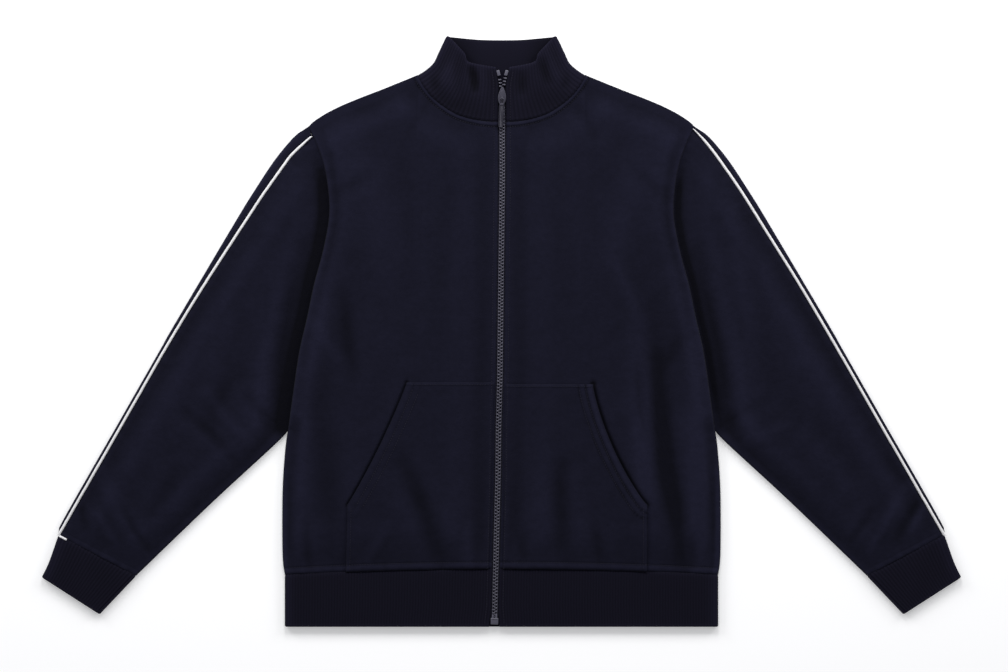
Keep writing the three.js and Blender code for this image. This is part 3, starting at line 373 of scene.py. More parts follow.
def pucker(along, away, seed=0):
    """Small gathers beside a seam: uneven waves along it that die out away from it."""
    wave = np.sin(along / 2.3 + 1.2 * np.sin(along / 17 + seed)) + 0.6 * np.sin(along / 3.9 + seed)
    return 0.2 * wave * np.exp(-np.maximum(away, 0) / 7) * np.clip(away / 1.5, 0, 1)


def tucked(away, depth=0.9, reach=1.5):
    """How far the cloth turns down where it goes into a seam."""
    return depth * np.exp(-((np.maximum(away, 0) / reach) ** 1.5))


def front_height(x, y):
    swell = 0.35 * np.sin(x / 47 + y / 90) + 0.3 * np.sin(y / 61 - x / 120)
    fine = 0.16 * ripple(x, y, 46, 1) + 0.05 * ripple(x, y, 17, 2)
    return FRONT_TOP + swell + fine + DRAPE * folds_at(FRONT_FOLDS, x, y)


def sleeve_height(side, x, y):
    out = np.abs(x)
    swell = 0.3 * np.sin(out / 36 + y / 52) + 0.25 * np.sin(y / 33)
    fine = 0.18 * ripple(x, y, 40, 3) + 0.05 * ripple(x, y, 15, 4)
    return SLEEVE_TOP + swell + fine + DRAPE * folds_at(SLEEVE_FOLDS[side], out, y)


def collar_height(x, y):
    """The front of the collar stands up a little towards its top edge, with listed troughs."""
    rise = 2.8 * smoothstep(y - 0.16 * np.abs(x), 655, 712) * smoothstep(np.abs(x - zip_x(y)), 6, 30)
    return 2 * RIB_FOLD + rise + np.clip(3.6 * folds_at(COLLAR_FOLDS, x, y), -4.2, 1.8)


def softly_over(z, low):
    """Heights kept from going under `low`, with no hard line where they reach it."""
    return low + np.logaddexp(0, (z - low) * 2.2) / 2.2


def under_height(x, y):
    """The back panel's outer face lies on the table, with a few shallow creases off it."""
    crease = -np.minimum(0, folds_at(BACK_FOLDS, x, y) + 0.15 * ripple(x, y, 60, 5))
    return np.clip(crease - 0.08, 0, 0.6)


# ---------------------------------------------------------------- grids of the cloth's outer face


class Face:
    """A cloth's outer face as a grid: its points, the ways out of them, and the points laid flat."""

    def __init__(self, at, out, flat):
        self.at, self.out, self.flat = at, out, flat
        # Painted shading on top of the relief's: positive paints shade, negative paints a highlight.
        self.painted_shading_offset = 0.0

    @property
    def place(self):
        return self.at[..., 0], self.at[..., 1]

    def part(self, rows, columns):
        return Face(self.at[rows, columns], self.out[rows, columns], self.flat[rows, columns])

    def moved_out(self, distance):
        return Face(self.at + self.out * distance, self.out, self.flat)


def face_beside(faces):
    return Face(*(np.concatenate([getattr(f, k) for f in faces], 1) for k in ("at", "out", "flat")))


def spaced(length, step, low=0, high=0, fine=1.3):
    """Shares of a length from 0 to 1, closer together in its first `low` and its last `high` mm."""
    middle = np.linspace(low, length - high, max(2, round((length - low - high) / step)) + 1)
    start = np.linspace(0, low, round(low / fine) + 1)[:-1] if low else []
    end = np.linspace(length - high, length, round(high / fine) + 1)[1:] if high else []
    return np.concatenate([start, middle, end]) / length


def way_to(line, x, y, samples=400):
    """For each point: how far it is from a line, and how far along the line its nearest place is."""
    pts = line(np.linspace(0, 1, samples))
    best, along = np.full(np.shape(x), 1e9), np.zeros(np.shape(x))
    for a, b, start in zip(pts, pts[1:], run_along(pts)):
        size = np.linalg.norm(b - a)
        way = (b - a) / size
        t = np.clip((x - a[0]) * way[0] + (y - a[1]) * way[1], 0, size)
        gap = np.hypot(x - a[0] - way[0] * t, y - a[1] - way[1] * t)
        nearer = gap < best
        best = np.where(nearer, gap, best)
        along = np.where(nearer, start + t, along)
    return best, along


def roll_over(start, outward, z, edge_z, turn, up, reach):
    """Where a face rolls over an edge; `up` is 1 on an upper face and -1 on an under one."""
    turn = turn[:, None]
    bent = turn > 0.01
    radius = FOLD_ARC / np.where(bent, turn, 1)
    angle = turn * reach[None]
    over = np.where(bent, radius * np.sin(angle), FLAT_EDGE * reach)[..., None]
    drop = np.where(bent, radius * (1 - np.cos(angle)) / BODY_FOLD, 0)
    arc = (np.where(bent, FOLD_ARC, FLAT_EDGE) * reach)[..., None]
    plan = start[:, None] + outward[:, None] * over
    height = z[:, None] + (edge_z - z[:, None]) * drop
    out = raised(outward[:, None] * np.sin(angle)[..., None], up * np.cos(angle))
    return Face(raised(plan, height), out, start[:, None] + outward[:, None] * arc)


def roll_width(turn):
    """How wide a roll looks from above."""
    bent = np.asarray(turn) > 0.01
    safe = np.where(bent, turn, 1)
    return np.where(bent, FOLD_ARC * np.sin(safe) / safe, FLAT_EDGE)


def on_plan(height, plan):
    """A height that is worked out from x and y, at each point of the plan."""
    return height(plan[..., 0], plan[..., 1])


def laid(plan, z, up=1):
    """A flat run of cloth at the given heights."""
    z = np.broadcast_to(z, plan.shape[:-1])
    out = np.zeros(plan.shape[:-1] + (3,))
    out[..., 2] = up
    return Face(raised(plan, z), out, plan)


ROLL = np.linspace(0, 1, 8)
LOWER = (0.0, 0.25, 0.5, 0.75, 1.0)
WIDE = spaced(180, 3.6, 12, 26)  # the fronts' columns from the zip to the pocket's mouth


def panel_face(stretches, turn_at, sign, height_at, up, edge_z):
    """A body panel's outer face: its plan lifted to its height, then the roll at the garment's side."""
    plans, outwards, turns, starts_at = [], [], [], []
    for index, s in enumerate(stretches):
        t = s["rows"] if index == 0 else s["rows"][1:]

        def starts(t, s=s, index=index):
            width = roll_width(turn_at(index, np.asarray(t, float)))
            return s["side"](t) - across(s["side"], t, sign) * width[..., None]

        middle = patch(s["bottom"], s["top"], s["inner"], s["line"])
        low, high = s["line"](0.0), s["line"](1.0)

        def hem_out(t, low=low, end=starts(0.0)):
            return over_hem(lerp(low[0], end[0], np.asarray(t, float)))

        bottom_out = straight_line(low, starts(0.0)) if index else hem_out
        top_out = s.get("top_out") or straight_line(high, starts(1.0))
        outer = patch(pinned(bottom_out, low, starts(0.0)), top_out, s["line"], starts)
        grid = [middle(*np.meshgrid(s["wide"], t)), outer(*np.meshgrid(s["rest"][1:], t))]
        plans.append(np.concatenate(grid, 1))
        outwards.append(across(s["side"], t, sign))
        turns.append(turn_at(index, t))
        starts_at.append(starts(t))
    plan, outward = np.concatenate(plans), np.concatenate(outwards)
    turn, start = np.concatenate(turns), np.concatenate(starts_at)
    height = on_plan(height_at, plan)
    roll = roll_over(start, outward, height[:, -1], edge_z, turn, up, ROLL[1:])
    return face_beside([laid(plan, height, up), roll])


def side_lines(sign):
    """The body's outer edge in three stretches: two up its side seam, then the armhole."""
    seam = smooth_line(SIDE_SEAM, sign)
    share = 0.42
    return [
        lambda t: seam(np.asarray(t, float) * share),
        lambda t: seam(lerp(share, 1, np.asarray(t, float))),
        smooth_line(ARMHOLE, sign),
    ]


def mirrored(point, sign):
    return np.array([sign * point[0], point[1]], float)


def neckline_of(sign, outward=1):
    """The front's neck edge, or with -1 the collar's edge that is sewn to it."""
    start = (sign * float(zip_edge(NECK_FRONT, sign)[0]), NECK_FRONT)
    return beside(smooth_line([start, *NECKLINE], sign), SEAM / 2, sign * outward)


def mouth_line(side):
    """A pocket's mouth from its foot to its head, bowed in toward the zip."""
    s = SIDES[side]
    straight = straight_line(*(mirrored(s[end], s["sign"]) for end in ("mouth_foot", "mouth_head")))
    inward = across(straight, 0.5, -s["sign"])

    def line(t):
        bow = s["bow"] * np.sin(math.pi * np.asarray(t, float)) ** 0.7
        return straight(t) + inward * bow[..., None]

    return line


def front_relief(side):
    """The front's height with its seams: gathers, turned edges and stitched ridges."""
    sign = SIDES[side]["sign"]
    neck, armhole = neckline_of(sign), smooth_line(ARMHOLE, sign)
    shoulder, side_seam = smooth_line(SHOULDER, sign), smooth_line(SIDE_SEAM, sign)
    mouth, creased = mouth_line(side), SIDES[side]["creased"]

    def height(x, y):
        hem = y - hem_seam(x) - SEAM / 2
        collar, along_neck = way_to(neck, x, y)
        sleeve, along_armhole = way_to(armhole, x, y)
        top, along_top = way_to(shoulder, x, y)
        edge, along_side = way_to(side_seam, x, y)
        zip_side = off_zip(x, y)
        loft = smoothstep(hem, 4, 60) * smoothstep(collar, 3, 45) * smoothstep(top, 0, 40)
        loft = loft * (0.35 + 0.65 * smoothstep(sleeve, 0, 22)) * smoothstep(edge, 0, 26)
        z = front_height(x, y) + FRONT_LOFT * loft * smoothstep(zip_side, 4, 60)
        z = lerp(PLACKET_TOP, softly_over(z, FRONT_LEAST), smoothstep(zip_side, 8, 34))
        z = z + pucker(x, hem, sign) + stitched_ridge(hem, HEM_ROW, 0.9) - tucked(hem, 0.6)
        z = z + 0.7 * pucker(along_neck, collar, 3) + stitched_ridge(collar, NECK_ROW, 0.9)
        z = z - tucked(collar, 0.6)
        z = z + pucker(along_armhole * 0.8, sleeve, 5)
        z = z + 0.6 * pucker(along_top, top, 7) - tucked(top, 0.5)
        z = z + 0.6 * pucker(along_side * 0.9, edge, 9)
        z = z - tucked(zip_side, 0.8, 1.4) + stitched_ridge(zip_side, ZIP_ROW, 0.3)
        z = z - MOUTH_CREASE * bell(way_to(mouth, x, y)[0], creased)
        return z + 0.12 * np.sin(y / 9 + 1.5 * np.sin(y / 31)) * np.exp(-zip_side / 12)

    return height


def stitched_ridge(away, line, rise):
    """A seam allowance under the cloth, puffed up between the seam and a line of stitches."""
    puff = rise * np.clip(np.sin(np.clip(away / line, 0, 1) * math.pi), 0, 1)
    return puff - 0.55 * rise * bell(away, 1.1, line)


def front_face(side):
    s = SIDES[side]
    sign = s["sign"]
    foot, head = mirrored(s["mouth_foot"], sign), mirrored(s["mouth_head"], sign)
    neckline = neckline_of(sign)
    lines = side_lines(sign)
    key_y = [HEM_SEAM_MIDDLE + SEAM / 2, foot[1], head[1], float(neckline(0.0)[1])]

    def zip_run(index):
        return lambda t: zip_edge(lerp(key_y[index], key_y[index + 1], np.asarray(t, float)), sign)

    def hem_run(t):
        start = zip_edge(key_y[0], sign)[0]
        return over_hem(lerp(start, sign * s["hem_at"][0], np.asarray(t, float)))

    tip = lines[2](1.0) - across(lines[2], 1.0, sign) * roll_width(QUARTER)
    below, over = straight_line(zip_run(0)(1.0), foot), straight_line(zip_run(1)(1.0), head)
    columns = {"wide": WIDE, "rest": spaced(100, 3.6, 6, 8)}
    front = panel_face(
        [
            {
                "rows": spaced(86, 3.4, 16), "side": lines[0], "inner": zip_run(0),
                "line": straight_line(hem_run(1.0), foot), "bottom": hem_run, "top": below, **columns,
            },
            {
                "rows": spaced(158, 3.4, 0, 12), "side": lines[1], "inner": zip_run(1),
                "line": mouth_line(side), "bottom": below, "top": over, **columns,
            },
            {
                "rows": spaced(360, 3.6, 4, 12), "side": lines[2], "inner": zip_run(2),
                "line": straight_line(head, neckline(1.0)), "bottom": over, "top": neckline,
                "top_out": pinned(smooth_line(SHOULDER, sign), neckline(1.0), tip), **columns,
            },
        ],
        lambda index, t: np.full(np.shape(t), QUARTER),
        sign, front_relief(side), 1, BODY_FOLD + SEAM / 2,
    )
    # A highlight is painted where the side is creased over its seam, and shade is painted along the
    # pocket's mouth and in the neck's row of stitches.
    x, y = front.place
    edge, mouth, neck = (
        way_to(line, x, y)[0] for line in (smooth_line(SIDE_SEAM, sign), mouth_line(side), neckline)
    )
    painted_light = smoothstep(y, 255, 150) * bell(edge, 3.2, 4)
    front.painted_shading_offset = 0.7 * s["puff_and_painted_shading"] * bell(mouth, 4.5) + 0.4 * bell(neck, 1.1, NECK_ROW)
    front.painted_shading_offset = front.painted_shading_offset - s["painted_light"] * painted_light
    return front


def pocket_face(side, front):
    """A patch pocket over the front's own points: its turned edges, and the grooves of its stitches."""
    s = SIDES[side]
    sign = s["sign"]
    foot, head = mirrored(s["mouth_foot"], sign), mirrored(s["mouth_head"], sign)
    x, y = front.place
    rows = int(np.argmin(np.abs(y[:, 0] - head[1]))) + 1
    columns = len(WIDE)
    first = int(np.argmin(np.abs(off_zip(x, y)[0, :columns] - PLACKET)))
    under = front.part(slice(0, rows), slice(first, columns))
    lifted = under.moved_out(SEAM + POCKET_WALL)
    x, y = lifted.place
    mouth, _ = way_to(mouth_line(side), x, y)
    edge, _ = way_to(straight_line(mirrored(s["hem_at"], sign), foot), x, y)
    top = np.abs(y - head[1])
    inner = off_zip(x, y) - PLACKET
    along = np.clip((y - foot[1]) / (head[1] - foot[1]), 0, 1)
    gape = np.sin(math.pi * along) ** 0.7 * (y > foot[1])
    z = 1.2 * gape * np.exp(-mouth / 16) - tucked(mouth, 0.4, 1.0)
    z = z + MOUTH_CREASE * bell(mouth, s["creased"])
    first_row, second_row = MOUTH_ROWS
    past_first = np.clip(mouth - first_row, 0, None)
    z = z + stitched_ridge(mouth, first_row, s["puff_and_painted_shading"]) + stitched_ridge(edge, POCKET_ROW, 0.35)
    z = z + stitched_ridge(past_first, second_row - first_row, 0.8 * s["puff_and_painted_shading"])
    z = z - tucked(top, 0.4, 1.0) + stitched_ridge(top, 4.5, 0.3)
    z = z - tucked(inner, 0.35, 1.0) + stitched_ridge(inner, 4, 0.15) + 0.5 * pucker(y, inner, 21)
    lifted.at = lifted.at + lifted.out * (z * 0.9)[..., None]
    # Shade is painted in the rows of stitches, and a highlight along the mouth's turned edge.
    grooves = sum(bell(mouth, 1.2, row) for row in MOUTH_ROWS)
    lifted.painted_shading_offset = s["puff_and_painted_shading"] * (0.5 * grooves - 0.5 * bell(mouth, 3, 4.5))
    return lifted


def back_face():
    halves = []
    for sign in (-1, 1):
        lines = side_lines(sign)
        neck = beside(smooth_line(BACK_NECK, sign), SEAM / 2, sign)
        key_y = [HEM_SEAM_MIDDLE + SEAM / 2, float(lines[0](1.0)[1]), UNDERARM[1], float(neck(0.0)[1])]

        def middle(index, key_y=key_y):
            return straight_line((0, key_y[index]), (0, key_y[index + 1]))

        quarter = [np.array([sign * lerp(150, NECK_CORNER[0], y / 700), y]) for y in key_y]

        def hem_run(t, sign=sign):
            return over_hem(sign * 150 * np.asarray(t, float))

        quarter[0], quarter[3] = hem_run(1.0), neck(1.0)
        bottoms = [hem_run] + [straight_line(middle(k)(0.0), quarter[k]) for k in (1, 2)]
        tops = [bottoms[1], bottoms[2], neck]
        tip = lines[2](1.0) - across(lines[2], 1.0, sign) * roll_width(0.0)
        top_out = pinned(smooth_line(SHOULDER, sign), quarter[3], tip)
        stretches = [
            {
                "rows": spaced(length, 5.5, 12 if k == 0 else 0, 10 if k == 2 else 0, 2),
                "side": lines[k], "inner": middle(k), "line": straight_line(quarter[k], quarter[k + 1]),
                "bottom": bottoms[k], "top": tops[k], "wide": spaced(140, 6), "rest": spaced(140, 6),
                "top_out": top_out if k == 2 else None,
            }
            for k, length in enumerate((75, 110, 440))
        ]
        halves.append(
            panel_face(
                stretches,
                lambda index, t: np.where((index < 2) & ~((index == 1) & (t == 1)), QUARTER, 0.0),
                sign, back_relief(sign), -1, BODY_FOLD - SEAM / 2,
            )
        )
    left = halves[0].part(slice(None), slice(None, 0, -1))
    return face_beside([left, halves[1]])


def back_relief(sign):
    """The back's outer face: it rests on the table, and lifts off it a little at seams and creases."""
    neck, shoulder = beside(smooth_line(BACK_NECK, sign), 0, sign), smooth_line(SHOULDER, sign)

    def height(x, y):
        hem = y - hem_seam(x)
        z = under_height(x, y) + tucked(hem, 0.7, 2) + 0.2 * bell(hem, 1.6, 10)
        collar, along = way_to(neck, x, y)
        top, along_top = way_to(shoulder, x, y)
        z = z + tucked(collar, 0.7, 2) + tucked(top, 0.5, 2) + 0.2 * np.abs(pucker(along, collar))
        return z + 0.15 * np.abs(pucker(along_top, top)) + 0.2 * np.abs(pucker(x, hem))

    return height


# ---------------------------------------------------------------- sleeves


class Sleeve:
    """A sleeve's rows from shoulder to cuff: its edges, the ways out of them, the piping's inset."""

    def __init__(self, side):
        sign, piping = SIDES[side]["sign"], SIDES[side]["piping"]
        self.side, self.sign = side, sign
        armhole, underarm = smooth_line(ARMHOLE, sign), smooth_line(FOREARM_INNER, sign)
        self.armhole, self.underarm = armhole, underarm
        t = spaced(420, 3.4, 8, 0)
        low = spaced(275, 3.2, 0, 14)[1:]
        shift = across(armhole, 0.0, sign) * SEAM
        upper_in = beside(armhole, SEAM, sign)(1 - t)
        lower_in = underarm(low) + shift * (1 - low)[:, None]
        self.inner = np.concatenate([upper_in, lower_in])
        upper_out, lower_out = smooth_line(SLEEVE_OUTER, sign), smooth_line(FOREARM_OUTER, sign)
        past = np.clip((low - 0.955) / 0.045, 0, 1)[:, None]  # straight over the last few millimetres
        forearm = lower_out(np.minimum(low, 0.955)) * (1 - past) + lower_out(1.0) * past
        self.outer = np.concatenate([upper_out(t), forearm])
        self.inner_way = np.concatenate([across(armhole, 1 - t, -sign), across(underarm, low, sign)])
        self.outer_way = np.concatenate([across(upper_out, t, -sign), across(lower_out, low, -sign)])
        self.turn = np.concatenate([np.zeros(len(t)), np.full(len(low), QUARTER)])
        width = np.linalg.norm(self.outer - self.inner, axis=1)
        blend = smoothstep(width, 12, 40)[:, None]
        along_row = (self.outer - self.inner) / width[:, None]
        self.outer_way = self.outer_way * blend + along_row * (1 - blend)
        at_cuff = np.concatenate([0 * t, smoothstep(low, 0.9, 1)])[:, None]
        self.outer_way = self.outer_way * (1 - at_cuff) + along_row * at_cuff
        self.inner_way = self.inner_way * (1 - at_cuff) - along_row * at_cuff
        self.outer_way /= np.linalg.norm(self.outer_way, axis=1, keepdims=True)
        self.inner_way /= np.linalg.norm(self.inner_way, axis=1, keepdims=True)

        def piping_at(edge, share, start, end):
            return edge(share) - across(edge, share, -sign) * lerp(start, end, share)

        elbow = piping_at(upper_out, 0.72, *piping[:2])
        lower = [piping_at(lower_out, share, *piping[1:]) for share in LOWER]
        table = [*PIPING_TOP[side], *(np.array([elbow, *lower]) * (sign, 1))]
        self.piping_line = smooth_line(table, sign)
        self.width = width
        self.inset = np.array([self.crossing(*row) for row in zip(self.outer, self.outer_way)])
        self.run = run_along(self.outer)

    def height(self, x, y):
        """The sleeve's height with its seams: gathers at the armhole, the piping and the cuff."""
        body, along_body = way_to(self.armhole, x, y)
        under, _ = way_to(self.underarm, x, y)
        piping, along_piping = way_to(self.piping_line, x, y)
        cuff, along_cuff = way_to(smooth_line(CUFF_SEAM, self.sign), x, y)
        loft = smoothstep(body, 10, 46) * smoothstep(piping, 0, 40) * smoothstep(under, 0, 40)
        loft = loft * (0.25 + 0.75 * smoothstep(cuff, 0, 60))
        z = sleeve_height(self.side, x, y) + SLEEVE_LOFT * loft
        z = z - (0.9 + 2.0 * smoothstep(y, 590, 540)) * bell(body, 13)
        z = softly_over(z, SLEEVE_LEAST) + 0.8 * pucker(along_body, body, 11)
        z = z + pucker(along_piping, piping - 2, 13) - tucked(piping - 2, 0.7, 1.6)
        z = z + 1.3 * pucker(along_cuff, cuff, 15) - tucked(cuff, 0.8, 1.6)
        return z + stitched_ridge(cuff, CUFF_ROW, 0.35)

    def beyond(self, margin):
        """The rows that are wide enough to hold the piping and `margin` more."""
        return slice(int(np.argmax(self.width > self.inset + margin)), None)

    def crossing(self, outer, way):
        """How far in from the outer edge a row meets the piping's line."""
        reach = np.arange(0, 40, 0.2)
        pts = outer - way * reach[:, None]
        gap = way_to(self.piping_line, pts[:, 0], pts[:, 1])[0]
        above_start = gap.min() > 0.6 and outer[1] > self.piping_line(0.0)[1] - 20
        return 60.0 if above_start else reach[np.argmin(gap)]

    def on_outer_roll(self, run, height):
        """Points of the sleeve's outer roll, at a `run` over the cloth from its outermost line."""
        angle = np.clip(run / BODY_FOLD, -QUARTER, QUARTER)
        past = np.maximum(0, run - FOLD_ARC)
        shift = -BODY_FOLD * (1 - np.cos(angle)) - past
        plan = self.outer[:, None] + self.outer_way[:, None] * shift[..., None]
        high = on_plan(height, plan)
        z = BODY_FOLD + np.where(angle < 0, BODY_FOLD, high - BODY_FOLD) * np.sin(angle)
        out = raised(self.outer_way[:, None] * np.cos(angle)[..., None], np.sin(angle))
        flat = self.outer[:, None] - self.outer_way[:, None] * run[..., None]
        return Face(raised(plan, z), out, flat)

    def inner_edge(self, height, edge_z, up):
        """The roll of a panel's inner edge, and the line from which it rolls."""
        start = self.inner - self.inner_way * roll_width(self.turn)[:, None]
        roll = roll_over(
            start, self.inner_way, on_plan(height, start), edge_z, self.turn, up, ROLL[:0:-1]
        )
        return start, roll

    def front(self):
        """The front panel: from the inner edge out to the piping."""
        reach = PIPING / 2 + PIPING_GAP
        start, roll = self.inner_edge(self.height, BODY_FOLD + SEAM / 2, 1)
        under_body = np.where(self.turn > 0, 0, 1.6)[:, None] * self.inner_way
        roll.at[..., :2] += under_body[:, None]
        end = self.outer - self.outer_way * (self.inset + reach)[:, None]
        plan = ruled(start + under_body, end, spaced(150, 3.4, 8, 8))
        whole = face_beside([roll, laid(plan, on_plan(self.height, plan))])
        front = whole.part(self.beyond(reach + 0.6), slice(None))
        # The sleeve falls away from the armhole's seam, and shade is painted on it along the dip beside
        # the body.
        x, y = front.place
        depth, reach, foot = SIDES[self.side]["hollow_shade_paint"]
        hollow_shade_paint = depth * smoothstep(y, 625, 560) * smoothstep(y, 235, foot)
        front.painted_shading_offset = hollow_shade_paint * bell(way_to(self.armhole, x, y)[0], reach, 5)
        return front

    def unsewn(self, x, y):
        """The sleeve's height without what its seams do."""
        return sleeve_height(self.side, x, y)

    def back(self):
        """The back panel: from the inner edge under the arm, and round the outer edge to the piping."""

        def under(x, y):
            return 0.25 * np.clip(ripple(x, y, 70, 6), 0, 1)

        start, roll = self.inner_edge(under, BODY_FOLD - SEAM / 2, -1)
        plan = ruled(start, self.outer - self.outer_way * BODY_FOLD, spaced(150, 6))
        flat = laid(plan, on_plan(under, plan), -1)
        last = roll_at(np.minimum(self.inset - PIPING / 2 - PIPING_GAP, self.width + 1.2))
        share = np.linspace(0, 1, 14)[None, 1:]
        outer = self.on_outer_roll(-FOLD_ARC + (last[:, None] + FOLD_ARC) * share, self.unsewn)
        return face_beside([roll, flat, outer])

    def piping_rings(self, sides=10):
        """The bead's rings of points, from the armhole to the cuff."""
        seam = self.on_outer_roll(roll_at(self.inset)[:, None], self.unsewn)
        middle = self.outer - self.outer_way * self.inset[:, None]
        sag = 0.12 * np.sin(self.run / 13 + 2 * np.sin(self.run / 41))
        angle = 2 * math.pi * np.arange(sides) / sides
        plan = middle[:, None] + self.outer_way[:, None] * (PIPING / 2 * np.cos(angle))[None, :, None]
        z = seam.at[..., 2] - 0.6 + sag[:, None] + (PIPING / 2) * np.sin(angle)[None]
        rings = raised(plan, z)[self.beyond(0.5)]
        # The first stretch, from the armhole's seam to the first row that crosses the piping.
        first = rings[0].mean(0)
        share = np.linspace(0, 1, 6, endpoint=False)[:, None]
        start = self.piping_line(0.0)
        shift = (start - first[:2]) * (1 - share)
        lead = np.concatenate([shift, -1.2 * (1 - share) ** 2], 1)
        rings = np.concatenate([rings[0] + lead[:, None], rings])
        if not PIPING_TAIL[self.side]:
            return rings
        # The last stretch turns along the cuff's seam.
        seam_way = self.piping_end_way()
        reach = np.linspace(0, PIPING_TAIL[self.side], 7)[1:, None]
        rise = (CUFF_TOP - rings[-1].mean(0)[2]) * smoothstep(reach, 0, 3)
        middle = rings[-1].mean(0) + np.concatenate([seam_way * reach, rise], 1)
        across_way = np.array([-seam_way[1], seam_way[0]]) * self.sign
        size = PIPING / 2 * 0.8
        plan = middle[:, None, :2] + across_way * (size * np.cos(angle))[None, :, None]
        return np.concatenate([rings, raised(plan, middle[:, 2:] + size * np.sin(angle)[None])])

    def piping_end_way(self):
        """The way the cuff's seam runs in from the sleeve's outer edge."""
        seam = smooth_line(CUFF_SEAM, self.sign)
        way = seam(0.6) - seam(0.9)
        way = way / np.linalg.norm(way)
        return way if way[0] * self.sign < 0 else -way


def roll_at(distance):
    """How far over the cloth from the sleeve's outermost line a distance in from it lies."""
    on_roll = BODY_FOLD * np.arccos(np.clip(1 - distance / BODY_FOLD, 0, 1))
    return np.where(distance >= BODY_FOLD, FOLD_ARC + distance - BODY_FOLD, on_roll)


def piping(side, sleeve):
    """The round white bead along a sleeve, as a tube drawn through its rings."""
    rings = sleeve.piping_rings()
    points = np.concatenate([rings, rings[:, :1]], 1)
    around = np.broadcast_to(np.linspace(0, 11, points.shape[1])[None], points.shape[:2])
    along = np.broadcast_to(run_along(rings.mean(1))[:, None], points.shape[:2])
    out = points - points.mean(1, keepdims=True)
    bm = sealed(grid_bmesh(points, np.stack([around, along], -1), out))
    name = "piping_" + side
    finished(bm, name + "_bead", "piping", [name])


# ---------------------------------------------------------------- rib bands


def rib_relief(run, depth=0.4):
    """Rib knit: rounded wales with narrow grooves between them."""
    return -depth * np.abs(np.cos(math.pi * run / RIB_PITCH)) ** 3


def fold_leg(start, outward, fold, upward=False, count=25):
    """Half a turn round a band's side from its upper layer to its under one, or back `upward`."""
    s = np.linspace(0, 1, count)[1:-1]
    angle = QUARTER - math.pi * (1 - s if upward else s)
    over = fold * np.cos(angle)
    plan = start[:, None] + outward[:, None] * over[None, :, None]
    z = np.broadcast_to(fold * (1 + np.sin(angle))[None], plan.shape[:-1])
    sideways = outward[:, None] * np.cos(angle)[None, :, None]
    up = np.broadcast_to(np.sin(angle)[None], sideways.shape[:-1])
    return Face(raised(plan, z), raised(sideways, up), plan)


def band_shell(face, wall, edge, painted_light=0.0):
    """A ribbed band's whole skin: its ribbed face, its rounded free edge, and its plain inner face.

    The face's rows run from the seam to the free edge, which is rounded over `edge` millimetres. The
    last argument sets how strong a highlight is painted along that edge, and shade on the inner face
    towards its ends.
    """
    step = np.linalg.norm(np.diff(face.at, axis=1), axis=-1)
    run = np.concatenate([np.zeros((len(face.at), 1)), np.cumsum(step, axis=1)], 1)
    ribs = round(float(run[-1, -1]) / RIB_PITCH)
    phase = np.broadcast_to(run[-1:] / run[-1, -1] * ribs * RIB_PITCH, run.shape)
    relief = rib_relief(phase)
    down = run_along(face.at[:, 0])
    from_edge = (down[-1] - down)[:, None]
    sink = wall / 2 * (1 - np.sqrt(np.clip(1 - (1 - np.clip(from_edge / edge, 0, 1)) ** 2, 0, 1)))
    fade = np.clip(from_edge / 2.5, 0.35, 1)
    seam = 0.9 * bell(down, 1.8)[:, None]
    outer = face.at + face.out * (relief * fade - sink - seam)[..., None]
    inner = face.at - face.out * (wall - sink)[..., None]
    inner = inner + face.out * (0.1 * relief)[..., None]
    back = list(range(len(inner) - 1, 0, -3)) + [0]
    rows = np.concatenate([outer, inner[back], outer[:1]])
    down = np.broadcast_to(down[:, None], run.shape)
    # The inner face's place across the ribs stays 0, so the rib material paints it all with the
    # grooves' shade.
    across_ribs = np.concatenate([phase, np.zeros_like(phase)[back], phase[:1]])
    flat = np.stack([across_ribs, np.concatenate([down, down[back], down[:1]])], -1)
    # Painted highlight along the free edge, and painted shade on the inner face towards its ends.
    lighter = np.broadcast_to(-0.9 * painted_light * bell(from_edge, 3.0), run.shape)
    darker = painted_light * smoothstep(np.abs(face.at[..., 0]), 20, 62)
    return rows, flat, np.concatenate([lighter, darker[back], lighter[:1]])


def hem_face():
    share = 1 - spaced(71, 3.2, 6, 5, 0.9)
    fold_x = HEM_HALF - RIB_FOLD
    tuck = 1.0 * (share**16)[:, None]

    def place(x):
        x = np.broadcast_to(x, (len(share), np.shape(x)[-1]))
        return np.stack([x, (hem_seam(x) - SEAM / 2) * share[:, None] + tuck], -1)

    def run(a, b, up, count):
        """One layer of the band, from an x to another on each row."""
        a, b = (np.broadcast_to(end, share.shape)[:, None] for end in (a, b))
        s = np.linspace(0, 1, count)
        plan = place(a * (1 - s) + b * s)
        bow = 0.25 * np.sin(plan[..., 0] / 41) * np.sin(math.pi * share)[:, None] if up > 0 else 0
        return laid(plan, 2 * RIB_FOLD - 0.25 + bow if up > 0 else 0.0, up)

    y = (HEM_SEAM_MIDDLE - SEAM / 2) * share
    edge = {sign: zip_x(y) + sign * channel(y) for sign in (1, -1)}
    side = {sign: place(np.array([sign * fold_x]))[:, 0] for sign in (1, -1)}
    way = {sign: np.broadcast_to(np.array([sign, 0.0]), side[sign].shape) for sign in (1, -1)}
    return face_beside(
        [
            run(edge[1], fold_x, 1, 380),
            fold_leg(side[1], way[1], RIB_FOLD),
            run(fold_x, -fold_x, -1, 520),
            fold_leg(side[-1], way[-1], RIB_FOLD, True),
            run(-fold_x, edge[-1], 1, 380),
        ]
    )


